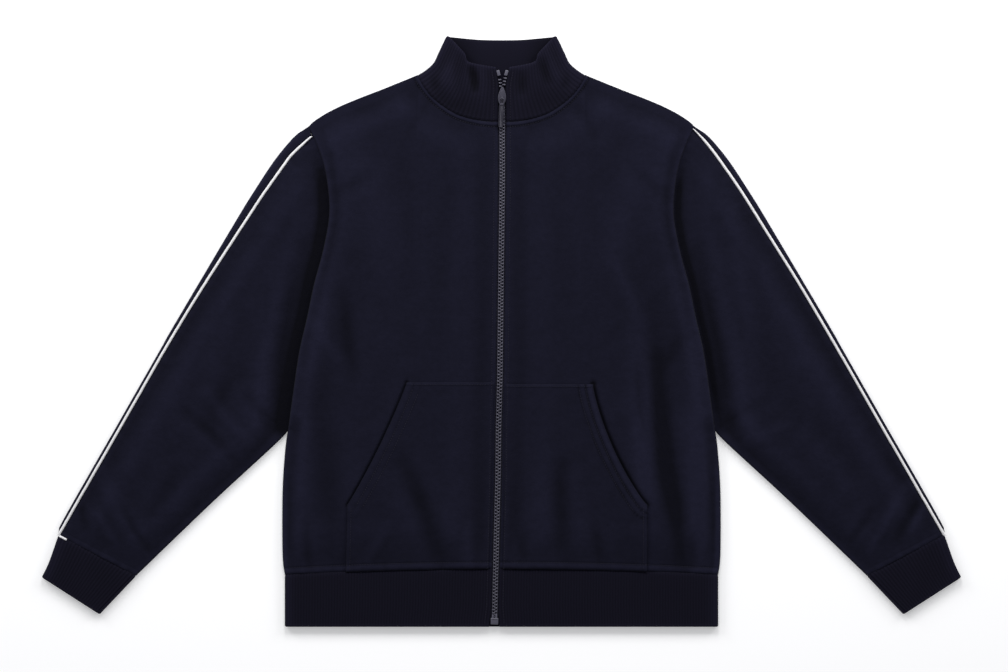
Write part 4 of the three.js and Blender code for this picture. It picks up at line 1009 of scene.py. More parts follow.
def cuff_face(side):
    sign = SIDES[side]["sign"]
    seam = [mirrored(p, sign) for p in CUFF_SEAM]
    end = [mirrored(p, sign) for p in CUFF_END]
    share = spaced(66, 3.2, 5, 5, 0.9)
    inner, outer = straight_line(seam[0], end[0])(share), smooth_line(CUFF_OUTER, sign)(share)
    along = (end[0] - seam[0]) / np.linalg.norm(end[0] - seam[0])
    gap = -1.1 * ((1 - share) ** 8)[:, None] * along
    inner, outer = inner + gap, outer + gap
    way = outer - inner
    way = way / np.linalg.norm(way, axis=1, keepdims=True)
    near, far = inner + way * RIB_FOLD, outer - way * RIB_FOLD
    columns = np.linspace(0, 1, 150)
    upper = ruled(near, far, columns)
    dip = 0.5 * np.sin(upper[..., 0] / 19) * np.sin(math.pi * share)[:, None]
    return face_beside(
        [
            laid(upper, 2 * RIB_FOLD - 0.3 + np.minimum(0.1, dip)),
            fold_leg(far, way, RIB_FOLD),
            laid(ruled(far, near, columns), 0.0, -1),
            fold_leg(near, -way, RIB_FOLD, True),
        ]
    )


def collar_face():
    t = spaced(95, 3.2, 8, 5, 0.9)
    legs = {}
    for sign in (1, -1):
        fold = smooth_line(COLLAR_FOLD, sign)

        def fold_in(t, fold=fold, sign=sign):
            return fold(t) - across(fold, t, sign) * RIB_FOLD

        seam = neckline_of(sign, -1)
        neckline = pinned(seam, seam(0.0), fold_in(0.0))
        top_x, top_y = zip_edge(COLLAR_FRONT_TOP, sign)
        top_line = smooth_line([(sign * float(top_x), float(top_y)), *COLLAR_FRONT_EDGE[1:]], sign)
        front_top = pinned(top_line, top_line(0.0), fold_in(1.0))
        back_seam = beside(smooth_line(BACK_NECK, sign), SEAM / 2, -sign)
        back_neck = pinned(back_seam, back_seam(0.0), fold_in(0.0))
        back_line = smooth_line(COLLAR_BACK_EDGE, sign)
        back_top = pinned(back_line, back_line(0.0), fold_in(1.0))
        neck_y, back_y = float(neckline(0.0)[1]), float(back_neck(0.0)[1])

        def zip_side(t, neck_y=neck_y, sign=sign):
            return zip_edge(lerp(neck_y, COLLAR_FRONT_TOP, np.asarray(t, float)), sign)

        upper = patch(neckline, front_top, zip_side, fold_in)
        under = patch(back_neck, back_top, straight_line((0, back_y), (0, COLLAR_BACK_TOP)), fold_in)
        s = np.linspace(0, 1, 170)
        grids = [fill(*np.meshgrid(s, t)) for fill in (upper, under)]
        soft = 0.25 * np.sin(grids[0][..., 1] / 13 + grids[0][..., 0] / 29)
        fold_side = smoothstep(1 - s, 0.02, 0.25)[None]
        height = on_plan(collar_height, grids[0]) - 0.2 + soft
        height = lerp(2 * RIB_FOLD, height, fold_side)
        legs[sign] = (
            laid(grids[0], height),
            fold_leg(fold_in(t), across(fold, t, sign), RIB_FOLD, sign < 0),
            laid(grids[1], 0.0, -1),
        )
    every, turned = slice(None), slice(None, None, -1)
    (front, fold, back), (left_front, left_fold, left_back) = legs[1], legs[-1]
    left_back = left_back.part(every, slice(1, None))
    return face_beside(
        [front, fold, back.part(every, turned), left_back, left_fold, left_front.part(every, turned)]
    )


# ---------------------------------------------------------------- objects


SKINS = {}  # each finished piece, by its name, to find places on it


def to_frame(points):
    """Garment millimetres to the frame's metres."""
    return np.asarray(points, float) * MM + (MIDDLE_X, FOOT_Y, 0)


def linear(hex_colour):
    """An sRGB hex colour as linear RGBA."""
    channels = [int(hex_colour[k : k + 2], 16) / 255 for k in (1, 3, 5)]
    return [c / 12.92 if c <= 0.04045 else ((c + 0.055) / 1.055) ** 2.4 for c in channels] + [1.0]


def finished(bm, name, kind, replaces=(), body="jacket"):
    """Turns a bmesh into an object of one material, riding on a body for the nodes it replaces."""
    mesh = bpy.data.meshes.new(name)
    SKINS[name] = BVHTree.FromBMesh(bm)
    bm.to_mesh(mesh)
    bm.free()
    mesh.shade_smooth()
    obj = bpy.data.objects.new(name, mesh)
    bpy.context.scene.collection.objects.link(obj)
    mesh.materials.append(material_of(kind))
    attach(obj, body)
    if replaces:
        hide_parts(*replaces)
    return obj


def top_of(x, y, names, below=False):
    """The highest point of some finished pieces over a place, or the lowest seen from below."""
    sign = -1 if below else 1
    origin = Vector(to_frame((x, y, 100 * sign)))
    hits = [SKINS[name].ray_cast(origin, Vector((0, 0, -sign))) for name in names]
    hits = [hit for hit in hits if hit[0]]
    if not hits:
        raise ValueError(f"no cloth at {x}, {y}")
    return max(hits, key=lambda hit: sign * hit[0].z)[:2]


def averaged(values, cells, axis):
    """Each value's mean with its neighbours on both sides along an axis."""
    count, window = values.shape[axis], 2 * cells + 1
    padded = np.pad(values, [(cells + 1, cells) if k == axis else (0, 0) for k in (0, 1)], mode="edge")
    total = np.cumsum(padded, axis)
    upper, lower = (np.take(total, np.arange(k, k + count), axis) for k in (window, 0))
    return (upper - lower) / window


# The cloth's height against its surroundings, which sets where shade and highlight are painted into its
# colour.
def standing(points, reach=11.0):
    """How far the cloth stands over, 1, or lies under, 0, its own height averaged round about."""
    level = points[..., 2]
    for axis in (0, 1, 0, 1):
        step = np.median(np.linalg.norm(np.diff(points, axis=axis), axis=-1))
        level = averaged(level, max(1, round(reach / step)), axis)
    return np.clip(0.5 + (points[..., 2] - level) / 2.6, 0, 1)


def grid_bmesh(points, flat, out, painted_shading_offset=0.0):
    """A bmesh grid shaped to the given points, facing out, with its flat places in metres as UVs."""
    way = np.cross(points[:-1, 1:] - points[:-1, :-1], points[1:, :-1] - points[:-1, :-1])
    painted_shading_offset = np.broadcast_to(painted_shading_offset, points.shape[:2])
    if (way[: len(out) - 1] * out[:-1, :-1]).sum() < 0:
        points, flat, painted_shading_offset = points[:, ::-1], flat[:, ::-1], painted_shading_offset[:, ::-1]
    rows, columns = points.shape[:2]
    bm = bmesh.new()
    uv = bm.loops.layers.uv.new("UVMap")
    # Per-point painted shading: low in hollows and under painted shade, high on crests and under
    # painted highlight.
    nap = bm.verts.layers.float.new("nap")
    bmesh.ops.create_grid(bm, x_segments=columns - 1, y_segments=rows - 1, size=1)
    stands = standing(points) - painted_shading_offset
    points = to_frame(points)
    for vert in bm.verts:
        column = round((vert.co.x + 1) / 2 * (columns - 1))
        row = round((vert.co.y + 1) / 2 * (rows - 1))
        for loop in vert.link_loops:
            loop[uv].uv = flat[row, column] * MM
        vert[nap] = stands[row, column]
        vert.co = points[row, column]
    return bm


def sealed(bm, reach=2e-5):
    """A skin with its meeting edges joined and its open ends filled."""
    bmesh.ops.remove_doubles(bm, verts=bm.verts, dist=reach)
    bmesh.ops.holes_fill(bm, edges=[e for e in bm.edges if e.is_boundary], sides=0)
    return bm


def cloth(name, face, wall=FLEECE):
    """A fleece panel with an even wall behind its outer face, standing for the CAD node of its name."""
    bm = grid_bmesh(face.at, face.flat, face.out, face.painted_shading_offset)
    obj = finished(bm, name + "_cloth", "fleece", [name])
    solid = obj.modifiers.new("Wall", "SOLIDIFY")
    solid.thickness = wall * MM
    solid.offset = -1
    solid.use_quality_normals = True


def rib_band(name, face, edge=1.5, painted_light=0.0):
    """A rib-knit band standing for the CAD node of its name."""
    points, flat, painted_shading_offset = band_shell(face, RIB_WALL, edge, painted_light)
    bm = sealed(grid_bmesh(points, flat, face.out, painted_shading_offset))
    finished(bm, name + "_rib", "rib", [name])


# ---------------------------------------------------------------- materials


def add(tree, kind, settings=None, inputs=None):
    """Adds a node with its settings; each input is a value, or another node's output to link."""
    node = tree.nodes.new(kind)
    for key, value in (settings or {}).items():
        setattr(node, key, value)
    for key, value in (inputs or {}).items():
        if isinstance(value, bpy.types.NodeSocket):
            tree.links.new(value, node.inputs[key])
        else:
            node.inputs[key].default_value = value
    return node


def surface(name, colour, roughness, specular, sheen=0.0, metallic=0.0):
    """A new material with its main shader set; returns the material, its node tree and the shader."""
    material = bpy.data.materials.new(name)
    material.use_nodes = True
    tree = material.node_tree
    shader = tree.nodes["Principled BSDF"]
    finish = {
        "Base Color": colour, "Roughness": roughness, "Specular IOR Level": specular,
        "Sheen Weight": sheen, "Sheen Roughness": 0.6, "Metallic": metallic,
    }
    for key, value in finish.items():
        shader.inputs[key].default_value = value
    material.diffuse_color = colour
    return material, tree, shader


def noise(tree, coords, pitch, detail):
    """Uneven noise from 0 to 1, about `pitch` millimetres from crest to crest."""
    inputs = {"Vector": coords, "Scale": 1 / (pitch * MM), "Detail": detail}
    return add(tree, "ShaderNodeTexNoise", None, inputs).outputs["Fac"]


def maths(tree, operation, *values):
    inputs = dict(enumerate(values))
    return add(tree, "ShaderNodeMath", {"operation": operation}, inputs).outputs[0]


def mottled(tree, coords, colour, dark, light, pitch):
    """A colour that wanders between a darker and a lighter share of itself."""
    return between(tree, noise(tree, coords, pitch, 3.0), colour, dark, light)


def between(tree, factor, colour, dark, light):
    """A colour from a darker share of itself, where the factor is 0, to a lighter one at 1."""
    low, high = ([c * share for c in colour[:3]] + [1] for share in (dark, light))
    inputs = {"Factor": factor, "A": low, "B": high}
    return add(tree, "ShaderNodeMix", {"data_type": "RGBA"}, inputs).outputs["Result"]


def relief_shading_tint(tree, colour, dark, light):
    """Painted shade darkens the colour in the hollows and under painted marks, and painted highlight
    lightens it on the crests.
    """
    stands = add(tree, "ShaderNodeAttribute", {"attribute_name": "nap"}).outputs["Fac"]
    deepest = dark + DEEPEST_PAINTED_SHADE * (light - dark)
    ramp = {"Value": stands, "From Min": DEEPEST_PAINTED_SHADE, "To Min": deepest, "To Max": light}
    share = add(tree, "ShaderNodeMapRange", None, ramp).outputs[0]
    inputs = {"Factor": 1.0, "A": colour, "B": share}
    settings = {"data_type": "RGBA", "blend_type": "MULTIPLY"}
    return add(tree, "ShaderNodeMix", settings, inputs).outputs["Result"]


def bump(tree, height, strength, distance, normal=None):
    inputs = {"Height": height, "Strength": strength, "Distance": distance * MM}
    if normal:
        inputs["Normal"] = normal
    return add(tree, "ShaderNodeBump", None, inputs).outputs["Normal"]


def stripes(tree, coords, axis, pitch, power=1.0):
    """Rounded stripes, 0 in the grooves and 1 on the crests, one per pitch along an axis."""
    split = add(tree, "ShaderNodeSeparateXYZ", None, {0: coords})
    turn = maths(tree, "MULTIPLY", split.outputs[axis], math.pi / (pitch * MM))
    return maths(tree, "POWER", maths(tree, "ABSOLUTE", maths(tree, "SINE", turn)), power)


def fleece_material(colour):
    """Cotton-blend sweatshirt fleece: matt, faintly brushed, with a fine jersey face, and painted shade
    and highlight that follow its relief.
    """
    material, tree, shader = surface("Sweatshirt fleece knit", colour, 0.95, 0.05, sheen=0.02)
    coords = add(tree, "ShaderNodeTexCoord").outputs["UV"]
    # Random mottling, then painted shade in the hollows and painted highlight on the crests.
    mix = relief_shading_tint(tree, mottled(tree, coords, colour, 0.82, 1.18, 7), 0.46, 1.5)
    tree.links.new(mix, shader.inputs["Base Color"])
    # The jersey's wales and courses, then the nap's soft pilling.
    wales, courses = stripes(tree, coords, "X", 0.9), stripes(tree, coords, "Y", 0.7)
    knit = maths(tree, "MULTIPLY", wales, courses)
    nap, soft = noise(tree, coords, 2.6, 4.0), noise(tree, coords, 14, 2.0)
    normal = bump(tree, nap, 0.45, 0.5, bump(tree, soft, 0.5, 1.6))
    tree.links.new(bump(tree, knit, 0.25, 0.15, normal), shader.inputs["Normal"])
    return material


def rib_material(colour):
    """Doubled rib knit: matt, with shade painted between its wales and by its relief, and a fine stitch
    along each.
    """
    material, tree, shader = surface("Rib knit", colour, 0.93, 0.05, sheen=0.02)
    coords = add(tree, "ShaderNodeTexCoord").outputs["UV"]
    # Shade is painted in the grooves between the wales; then the relief's painted shade and highlight.
    rib_shade_paint = stripes(tree, coords, "X", RIB_PITCH, 0.8)
    mix = relief_shading_tint(tree, between(tree, rib_shade_paint, colour, 0.88, 1.05), 0.45, 1.5)
    tree.links.new(mix, shader.inputs["Base Color"])
    courses = stripes(tree, coords, "Y", 1.1)
    place = add(tree, "ShaderNodeTexCoord").outputs["Object"]
    normal = bump(tree, noise(tree, place, 2.2, 4.0), 0.35, 0.4)
    tree.links.new(bump(tree, courses, 0.3, 0.2, normal), shader.inputs["Normal"])
    return material


def woven_material(name, colour, roughness, pitch, specular=0.2):
    """A tight woven tape: crossing threads seen close, plain from a distance."""
    material, tree, shader = surface(name, colour, roughness, specular)
    coords = add(tree, "ShaderNodeTexCoord").outputs["Object"]
    inputs = {"Vector": coords, "Angle": math.radians(45)}
    turned = add(tree, "ShaderNodeVectorRotate", {"rotation_type": "Z_AXIS"}, inputs).outputs[0]
    one, two = stripes(tree, turned, "X", pitch), stripes(tree, turned, "Y", pitch)
    weave = maths(tree, "MULTIPLY", one, two)
    tree.links.new(mottled(tree, coords, colour, 0.9, 1.08, 5), shader.inputs["Base Color"])
    tree.links.new(bump(tree, weave, 0.5, 0.25), shader.inputs["Normal"])
    return material


def moulded_material(name, colour, roughness, metallic=0.0, specular=0.5):
    """Moulded teeth or enamelled die-cast metal: smooth, with a slight unevenness in its shine."""
    material, tree, shader = surface(name, colour, roughness, specular, metallic=metallic)
    coords = add(tree, "ShaderNodeTexCoord").outputs["Object"]
    uneven = noise(tree, coords, 1.5, 3.0)
    inputs = {"Value": uneven, "To Min": roughness * 0.85, "To Max": roughness * 1.15}
    rough = add(tree, "ShaderNodeMapRange", None, inputs)
    tree.links.new(rough.outputs[0], shader.inputs["Roughness"])
    tree.links.new(bump(tree, uneven, 0.15, 0.1), shader.inputs["Normal"])
    return material


def piping_material(colour):
    """Plain woven cotton over a cord: matt, with its threads seen only from close by."""
    return woven_material("Woven piping", colour, 0.8, 0.6)


def tape_material(colour):
    """Woven polyester zip tape: flat and a little duller than the teeth."""
    return woven_material("Woven zip tape", colour, 0.9, 0.7, 0.15)


def thread_material(colour):
    """Spun polyester thread: a faint shine along each stitch."""
    return woven_material("Sewing thread", colour, 0.7, 0.3)


def teeth_material(colour):
    """Moulded acetal teeth: their roughness of 0.4 gives small soft glints."""
    return moulded_material("Moulded zip teeth", colour, 0.4)


def slider_material(colour):
    """Die-cast zinc under dark enamel: partly metallic, so that its shine takes the enamel's tint."""
    return moulded_material("Enamelled zip slider", colour, 0.38, 0.3)


def grip_material(colour):
    """Moulded soft rubber: dull, with little shine at its rounded edges."""
    return moulded_material("Moulded rubber grip", colour, 0.55, 0.0, 0.3)


def floor_material(colour):
    """A plain matt studio sweep, lit a little from behind as a packshot table is."""
    material, _, shader = surface("Matt studio floor", colour, 0.9, 0.1)
    shader.inputs["Emission Color"].default_value = linear("#ffffff")
    shader.inputs["Emission Strength"].default_value = 0.25
    return material


# Each material's maker, and the settings that hold its colour.
MATERIALS = {
    "fleece": (fleece_material, "jacket_cloth"),
    "rib": (rib_material, "jacket_cloth"),
    "piping": (piping_material, "jacket_cloth"),
    "thread": (thread_material, "jacket_cloth"),
    "tape": (tape_material, "jacket_zip"),
    "teeth": (teeth_material, "jacket_zip"),
    "slider": (slider_material, "jacket_zip"),
    "grip": (grip_material, "jacket_zip"),
    "floor": (floor_material, "jacket_stage"),
}
MADE = {}


def material_of(kind):
    """The material of a kind, made the first time it is asked for."""
    if kind not in MADE:
        maker, group = MATERIALS[kind]
        MADE[kind] = maker(tuple(getattr(getattr(bpy.context.scene, group), kind + "_colour")))
    return MADE[kind]


# ---------------------------------------------------------------- operators


class JACKET_OT_back(bpy.types.Operator):
    """Adds the back panel, which wraps a little round the sides"""

    bl_idname = "jacket.back"
    bl_label = "Back panel"

    def execute(self, context):
        cloth("back", back_face())
        return {"FINISHED"}


class JACKET_OT_fronts(bpy.types.Operator):
    """Adds the two front panels and the patch pockets sewn on them"""

    bl_idname = "jacket.fronts"
    bl_label = "Fronts and pockets"

    def execute(self, context):
        for side in SIDES:
            face = front_face(side)
            cloth("front_" + side, face)
            cloth("pocket_" + side, pocket_face(side, face), POCKET_WALL)
        return {"FINISHED"}


class JACKET_OT_sleeves(bpy.types.Operator):
    """Adds both halves of each sleeve and the piping between them"""

    bl_idname = "jacket.sleeves"
    bl_label = "Sleeves and piping"

    def execute(self, context):
        for side in SIDES:
            sleeve = Sleeve(side)
            cloth("sleeve_back_" + side, sleeve.back())
            cloth("sleeve_front_" + side, sleeve.front())
            piping(side, sleeve)
        return {"FINISHED"}


class JACKET_OT_ribs(bpy.types.Operator):
    """Adds the rib-knit hem band, cuffs and collar"""

    bl_idname = "jacket.ribs"
    bl_label = "Rib bands"

    def execute(self, context):
        rib_band("hem_band", hem_face())
        rib_band("collar", collar_face(), edge=3.2, painted_light=0.5)
        for side in SIDES:
            rib_band("cuff_" + side, cuff_face(side))
        return {"FINISHED"}


# ---------------------------------------------------------------- zip and stitching

# Where the pull hangs, and the slider's own axes there; its parts are drawn in millimetres from it.
PIVOT_Y = 686
PIVOT = (float(np.interp(PIVOT_Y, *np.array(ZIP_LINE, float).T[::-1])), PIVOT_Y)
HARDWARE = Matrix.Translation(to_frame((*PIVOT, 0))) @ Matrix.Rotation(math.radians(-2.5), 4, "Z")
HARDWARE = HARDWARE @ Matrix.Scale(MM, 4)

# The zip's teeth, and where its chain and its top stops begin and end.
TOOTH_PITCH = 4.3
CHAIN_FROM, CHAIN_TO = 13.6, 690.0
CHAIN_Z = 5.3
STOPS_FROM, STOPS_TO = 715.5, 723.0


def scattered(make, places):
    """One bmesh with the same small shape, made once, at every place."""
    shape, tool, whole = bpy.data.meshes.new("shape"), bmesh.new(), bmesh.new()
    make(tool)
    tool.to_mesh(shape)
    tool.free()
    for place in places:
        shape.transform(place)
        whole.from_mesh(shape)
        shape.transform(place.inverted())
    bpy.data.meshes.remove(shape)
    return whole


def bevelled(bm, edges, offset, segments):
    """Rounds some edges; each counts once, and they keep their order from run to run."""
    geom = list(dict.fromkeys(edges))
    bmesh.ops.bevel(
        bm, geom=geom, offset=offset, segments=segments, profile=0.5, affect="EDGES", material=-1
    )


def block(size, middle=(0, 0, 0), bevel=0.5, segments=1):
    """Makes a rounded block of a size about a middle."""

    def make(bm):
        made = bmesh.ops.create_cube(bm, size=1)["verts"]
        bmesh.ops.scale(bm, vec=size, verts=made)
        bmesh.ops.translate(bm, vec=middle, verts=made)
        bevelled(bm, (e for v in made for e in v.link_edges), bevel, segments)

    return make


def slab(bm, outline, low, high, bevel=0.4, segments=3, count=48):
    """A flat plate with a smooth outline, given as a function of the share round it."""
    rim = bmesh.ops.create_circle(bm, segments=count, radius=1, cap_ends=True)["verts"]
    for vert in rim:
        turn = math.atan2(vert.co.y, vert.co.x) / (2 * math.pi)
        vert.co = (*outline(turn % 1), low)
    face = rim[0].link_faces[0]
    if face.normal.z > 0:
        face.normal_flip()
    top = bmesh.ops.extrude_face_region(bm, geom=[face], use_keep_orig=True)["geom"]
    verts = [g for g in top if isinstance(g, bmesh.types.BMVert)]
    bmesh.ops.translate(bm, vec=(0, 0, high - low), verts=verts)
    caps = [g for g in top if isinstance(g, bmesh.types.BMFace)]
    edges = [e for f in caps for e in f.edges]
    bmesh.ops.recalc_face_normals(bm, faces=bm.faces)
    bevelled(bm, edges, bevel, segments)
    return max(bm.faces, key=lambda f: (round(f.calc_center_median().z, 3), f.calc_area()))


def rounded(half_width, low, high, power=4.0, waist=0.0, nose=1.0):
    """A long rounded outline between two ends; `nose` narrows its upper end and `waist` its middle."""

    def outline(share):
        angle = 2 * math.pi * share
        c, s = math.cos(angle), math.sin(angle)
        x = half_width * math.copysign(abs(c) ** (2 / power), c)
        y = math.copysign(abs(s) ** (2 / power), s)
        x *= lerp(1, nose, smoothstep(y, -0.2, 1)) * (1 - waist * math.exp(-((y / 0.4) ** 2)))
        return float(x), (low + high) / 2 + y * (high - low) / 2

    return outline


def tube(path, radius, sides=10, closed=False):
    """A round wire along a path of points, in the same units as the path."""
    path = np.array(path, float)
    around = np.roll(path, -1, 0) - np.roll(path, 1, 0) if closed else np.gradient(path, axis=0)
    along = around / np.linalg.norm(around, axis=1, keepdims=True)
    side = np.cross(along, (0.0, 0.0, 1.0))
    side /= np.linalg.norm(side, axis=1, keepdims=True)
    up = np.cross(side, along)
    angle = np.linspace(0, 2 * math.pi, sides + 1)[None, :, None]
    rings = path[:, None] + radius * (side[:, None] * np.cos(angle) + up[:, None] * np.sin(angle))
    if closed:
        rings = np.concatenate([rings, rings[:1]])
    bm = bmesh.new()
    bmesh.ops.create_grid(bm, x_segments=sides, y_segments=len(rings) - 1, size=1)
    for vert in bm.verts:
        column, row = round((vert.co.x + 1) / 2 * sides), round((vert.co.y + 1) / 2 * (len(rings) - 1))
        vert.co = rings[row, column]
    sealed(bm, radius * 0.02)
    bmesh.ops.recalc_face_normals(bm, faces=bm.faces)
    return bm


def joined(*parts):
    """Several bmeshes as one."""
    whole = bmesh.new()
    for part in parts:
        mesh = bpy.data.meshes.new("part")
        part.to_mesh(mesh)
        part.free()
        whole.from_mesh(mesh)
        bpy.data.meshes.remove(mesh)
    return whole


def placed(bm, matrix):
    bmesh.ops.transform(bm, matrix=matrix, verts=bm.verts)
    return bm


def zip_place(x, y, z, turn=0.0):
    """A place on the zip in the frame, with x measured across it and the chain's way followed."""
    lean = math.atan2(float(zip_x(y + 5) - zip_x(y - 5)), 10)
    at = Matrix.Translation(to_frame((float(zip_x(y)) + x, y, z)))
    return at @ Matrix.Rotation(turn - lean, 4, "Z") @ Matrix.Scale(MM, 4)


def spread(y):
    """How far each row of teeth has parted from the other above the slider."""
    return float(3.2 * smoothstep(y, 701, 723))


def tooth(sign):
    """One moulded tooth: a foot gripping the tape's edge, and a narrower head that locks."""

    def make(bm):
        block((2.5, 2.1, 2.9), (sign * 2.1, 0, 0))(bm)
        block((2.2, 1.5, 2.5), (sign * 0.2, 0, 0), 0.45)(bm)

    return make


def row_of(sign, start, end):
    """Where one row's teeth stand; the row at +x is half a pitch further on, so that they lock."""
    return np.arange(start + (TOOTH_PITCH / 2 if sign > 0 else 0), end, TOOTH_PITCH)


def chain():
    """The closed chain: both rows of teeth, each with the cord in its tape's edge."""
    rows = []
    for sign in (-1, 1):
        ys = row_of(sign, CHAIN_FROM, CHAIN_TO)
        rows.append(scattered(tooth(sign), [zip_place(0, float(y), CHAIN_Z) for y in ys]))
        along = np.arange(13, CHAIN_TO, 8)
        edge = [to_frame((float(zip_x(y)) + sign * 3.1, y, 4.6)) / MM for y in along]
        rows.append(placed(tube(edge, 0.75, 8), Matrix.Scale(MM, 4)))
    return joined(*rows)


def open_row(sign):
    """One row's last teeth above the slider, and its top stop."""
    places = [
        zip_place(sign * (spread(y) + 0.7), float(y), CHAIN_Z + 0.4, -sign * 0.2 * spread(y) / 2)
        for y in row_of(sign, 702, STOPS_FROM - 1.5)
    ]
    middle = (STOPS_FROM + STOPS_TO) / 2
    stop = scattered(
        block((4.2, STOPS_TO - STOPS_FROM, 3.2), bevel=0.9, segments=3),
        [zip_place(sign * (spread(middle) + 2.2), middle, CHAIN_Z + 0.9, -sign * 0.28)],
    )
    return joined(scattered(tooth(sign), places), stop)


def bottom_box():
    """The box at the zip's foot with its lip, and the pin and the post that stand in it."""
    parts = (
        ((10, 8.6, 3.9), 0.9, 3, (0, 7.4, 5.9)),
        ((7.4, 1.4, 0.8), 0.3, 2, (0, 10.2, 8.0)),
        ((2.4, 9.0, 2.4), 0.6, 2, (2.2, 12.5, 6.2)),
        ((2.4, 7.0, 2.4), 0.6, 2, (-2.4, 12.5, 6.2)),
    )
    made = (
        scattered(block(size, bevel=bevel, segments=segments), [zip_place(*place)])
        for size, bevel, segments, place in parts
    )
    return joined(*made)


def slider_body():
    """The slider: a crowned top plate over a throat, side flanges and the loop that holds the pull."""
    plate, under = bmesh.new(), bmesh.new()
    slab(plate, rounded(5.3, -7.2, 15, 3.0, nose=0.5), 8.4, 9.8, 0.7)
    slab(under, rounded(4.3, -6.8, 14.4, 3.0, nose=0.55), 6.9, 8.8, 0.2, 1)
    crown = bmesh.new()
    slab(crown, rounded(2.9, -5.4, 11.5, 2.6, nose=0.55), 9.5, 10.3, 0.5)
    arc = np.linspace(0, math.pi, 15)
    arch = tube([(0, 3.1 * math.cos(a), 9.3 + 3.3 * math.sin(a) ** 0.8) for a in arc], 0.85)
    return placed(joined(plate, under, crown, arch), HARDWARE)


def pull_shape():
    """The pull: a wire bail through the slider's loop, and a plain moulded tab with a sunk panel."""
    share = np.linspace(0, 1, 48, endpoint=False)
    bail = [(*rounded(2.6, -8.0, 0.0, 5.0)(float(s)), 0.0) for s in share]
    tab = bmesh.new()
    face = slab(tab, rounded(3.3, -38, -5.6, 6.0), -0.85, 0.85, 0.5)
    bmesh.ops.inset_region(tab, faces=[face], thickness=0.75, depth=0)
    bmesh.ops.inset_region(tab, faces=[face], thickness=0.15, depth=-0.35)
    lug = bmesh.new()
    slab(lug, rounded(2.1, -9.4, -5.9, 4.0), -1.15, 1.15, 0.4)
    droop = Matrix.Translation((0, 0, 11.15)) @ Matrix.Rotation(math.radians(2.5), 4, "X")
    bail = placed(joined(tube(bail, 0.75, closed=True), lug), HARDWARE @ droop)
    return bail, placed(tab, HARDWARE @ droop)


class JACKET_OT_zip(bpy.types.Operator):
    """Adds the zip's teeth, stops and box, and gives its tapes their weave"""

    bl_idname = "jacket.zip"
    bl_label = "Zip"

    def execute(self, context):
        finished(chain(), "zip_teeth", "teeth", ["zip_chain"])
        for side, s in SIDES.items():
            name = "zip_top_" + side
            finished(open_row(s["sign"]), name + "_teeth", "teeth", [name])
            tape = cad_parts["zip_tape_" + side]
            tape.data.materials.clear()
            tape.data.materials.append(material_of("tape"))
        finished(bottom_box(), "zip_box_moulding", "teeth", ["zip_box"])
        return {"FINISHED"}


class JACKET_OT_slider(bpy.types.Operator):
    """Adds the slider and its pull"""

    bl_idname = "jacket.slider"
    bl_label = "Slider and pull"

    def execute(self, context):
        finished(slider_body(), "slider_casting", "slider", ["slider"])
        bail, grip = pull_shape()
        finished(bail, "pull_bail", "slider", ["pull_tab"], "pull")
        finished(grip, "pull_grip", "grip", body="pull")
        return {"FINISHED"}


def stitches(line, names, below=False, margin=0.0):
    """Places for a row of stitches along a plan line, lying on the cloth under them."""
    sewn = bpy.context.scene.jacket_cloth
    length, pitch = sewn.stitch_length / MM, sewn.stitch_pitch / MM
    samples = line(np.linspace(0, 1, 400))
    run = run_along(samples)
    size = Matrix.Diagonal((length / 2 * MM, 0.4 * MM, 0.32 * MM, 1))
    up = Vector((0, 0, 1))

    def place(distance):
        return [float(np.interp(distance, run, samples[:, k])) for k in (0, 1)]

    places = []
    for at in np.arange(margin + pitch / 2, run[-1] - margin, pitch):
        (x, y), (next_x, next_y) = place(at), place(at + 1)
        spot, normal = top_of(x, y, names, below)
        lean = Matrix.Rotation(math.atan2(next_y - y, next_x - x), 4, "Z")
        tilt = up.rotation_difference(normal if normal.z > 0 else -normal).to_matrix().to_4x4()
        places.append(Matrix.Translation(spot) @ tilt @ lean @ size)
    return places


def stitch(bm):
    """One stitch, as a ball that its place draws out."""
    bmesh.ops.create_uvsphere(bm, u_segments=6, v_segments=4, radius=1)


def hem_line(sign, away, start=12.0, end=277.0):
    """A line a distance above the hem seam, between two distances from the middle."""

    def line(t):
        return over_hem(sign * lerp(start, end, np.asarray(t, float)), away)

    return line


def zip_stitch_line(sign, away, low, high):
    """A line a distance outside a front's edge beside the zip, between two heights."""

    def line(t):
        y = lerp(low, high, np.asarray(t, float))
        return np.stack([zip_x(y) + sign * (channel(y) + away), y], -1)

    return line


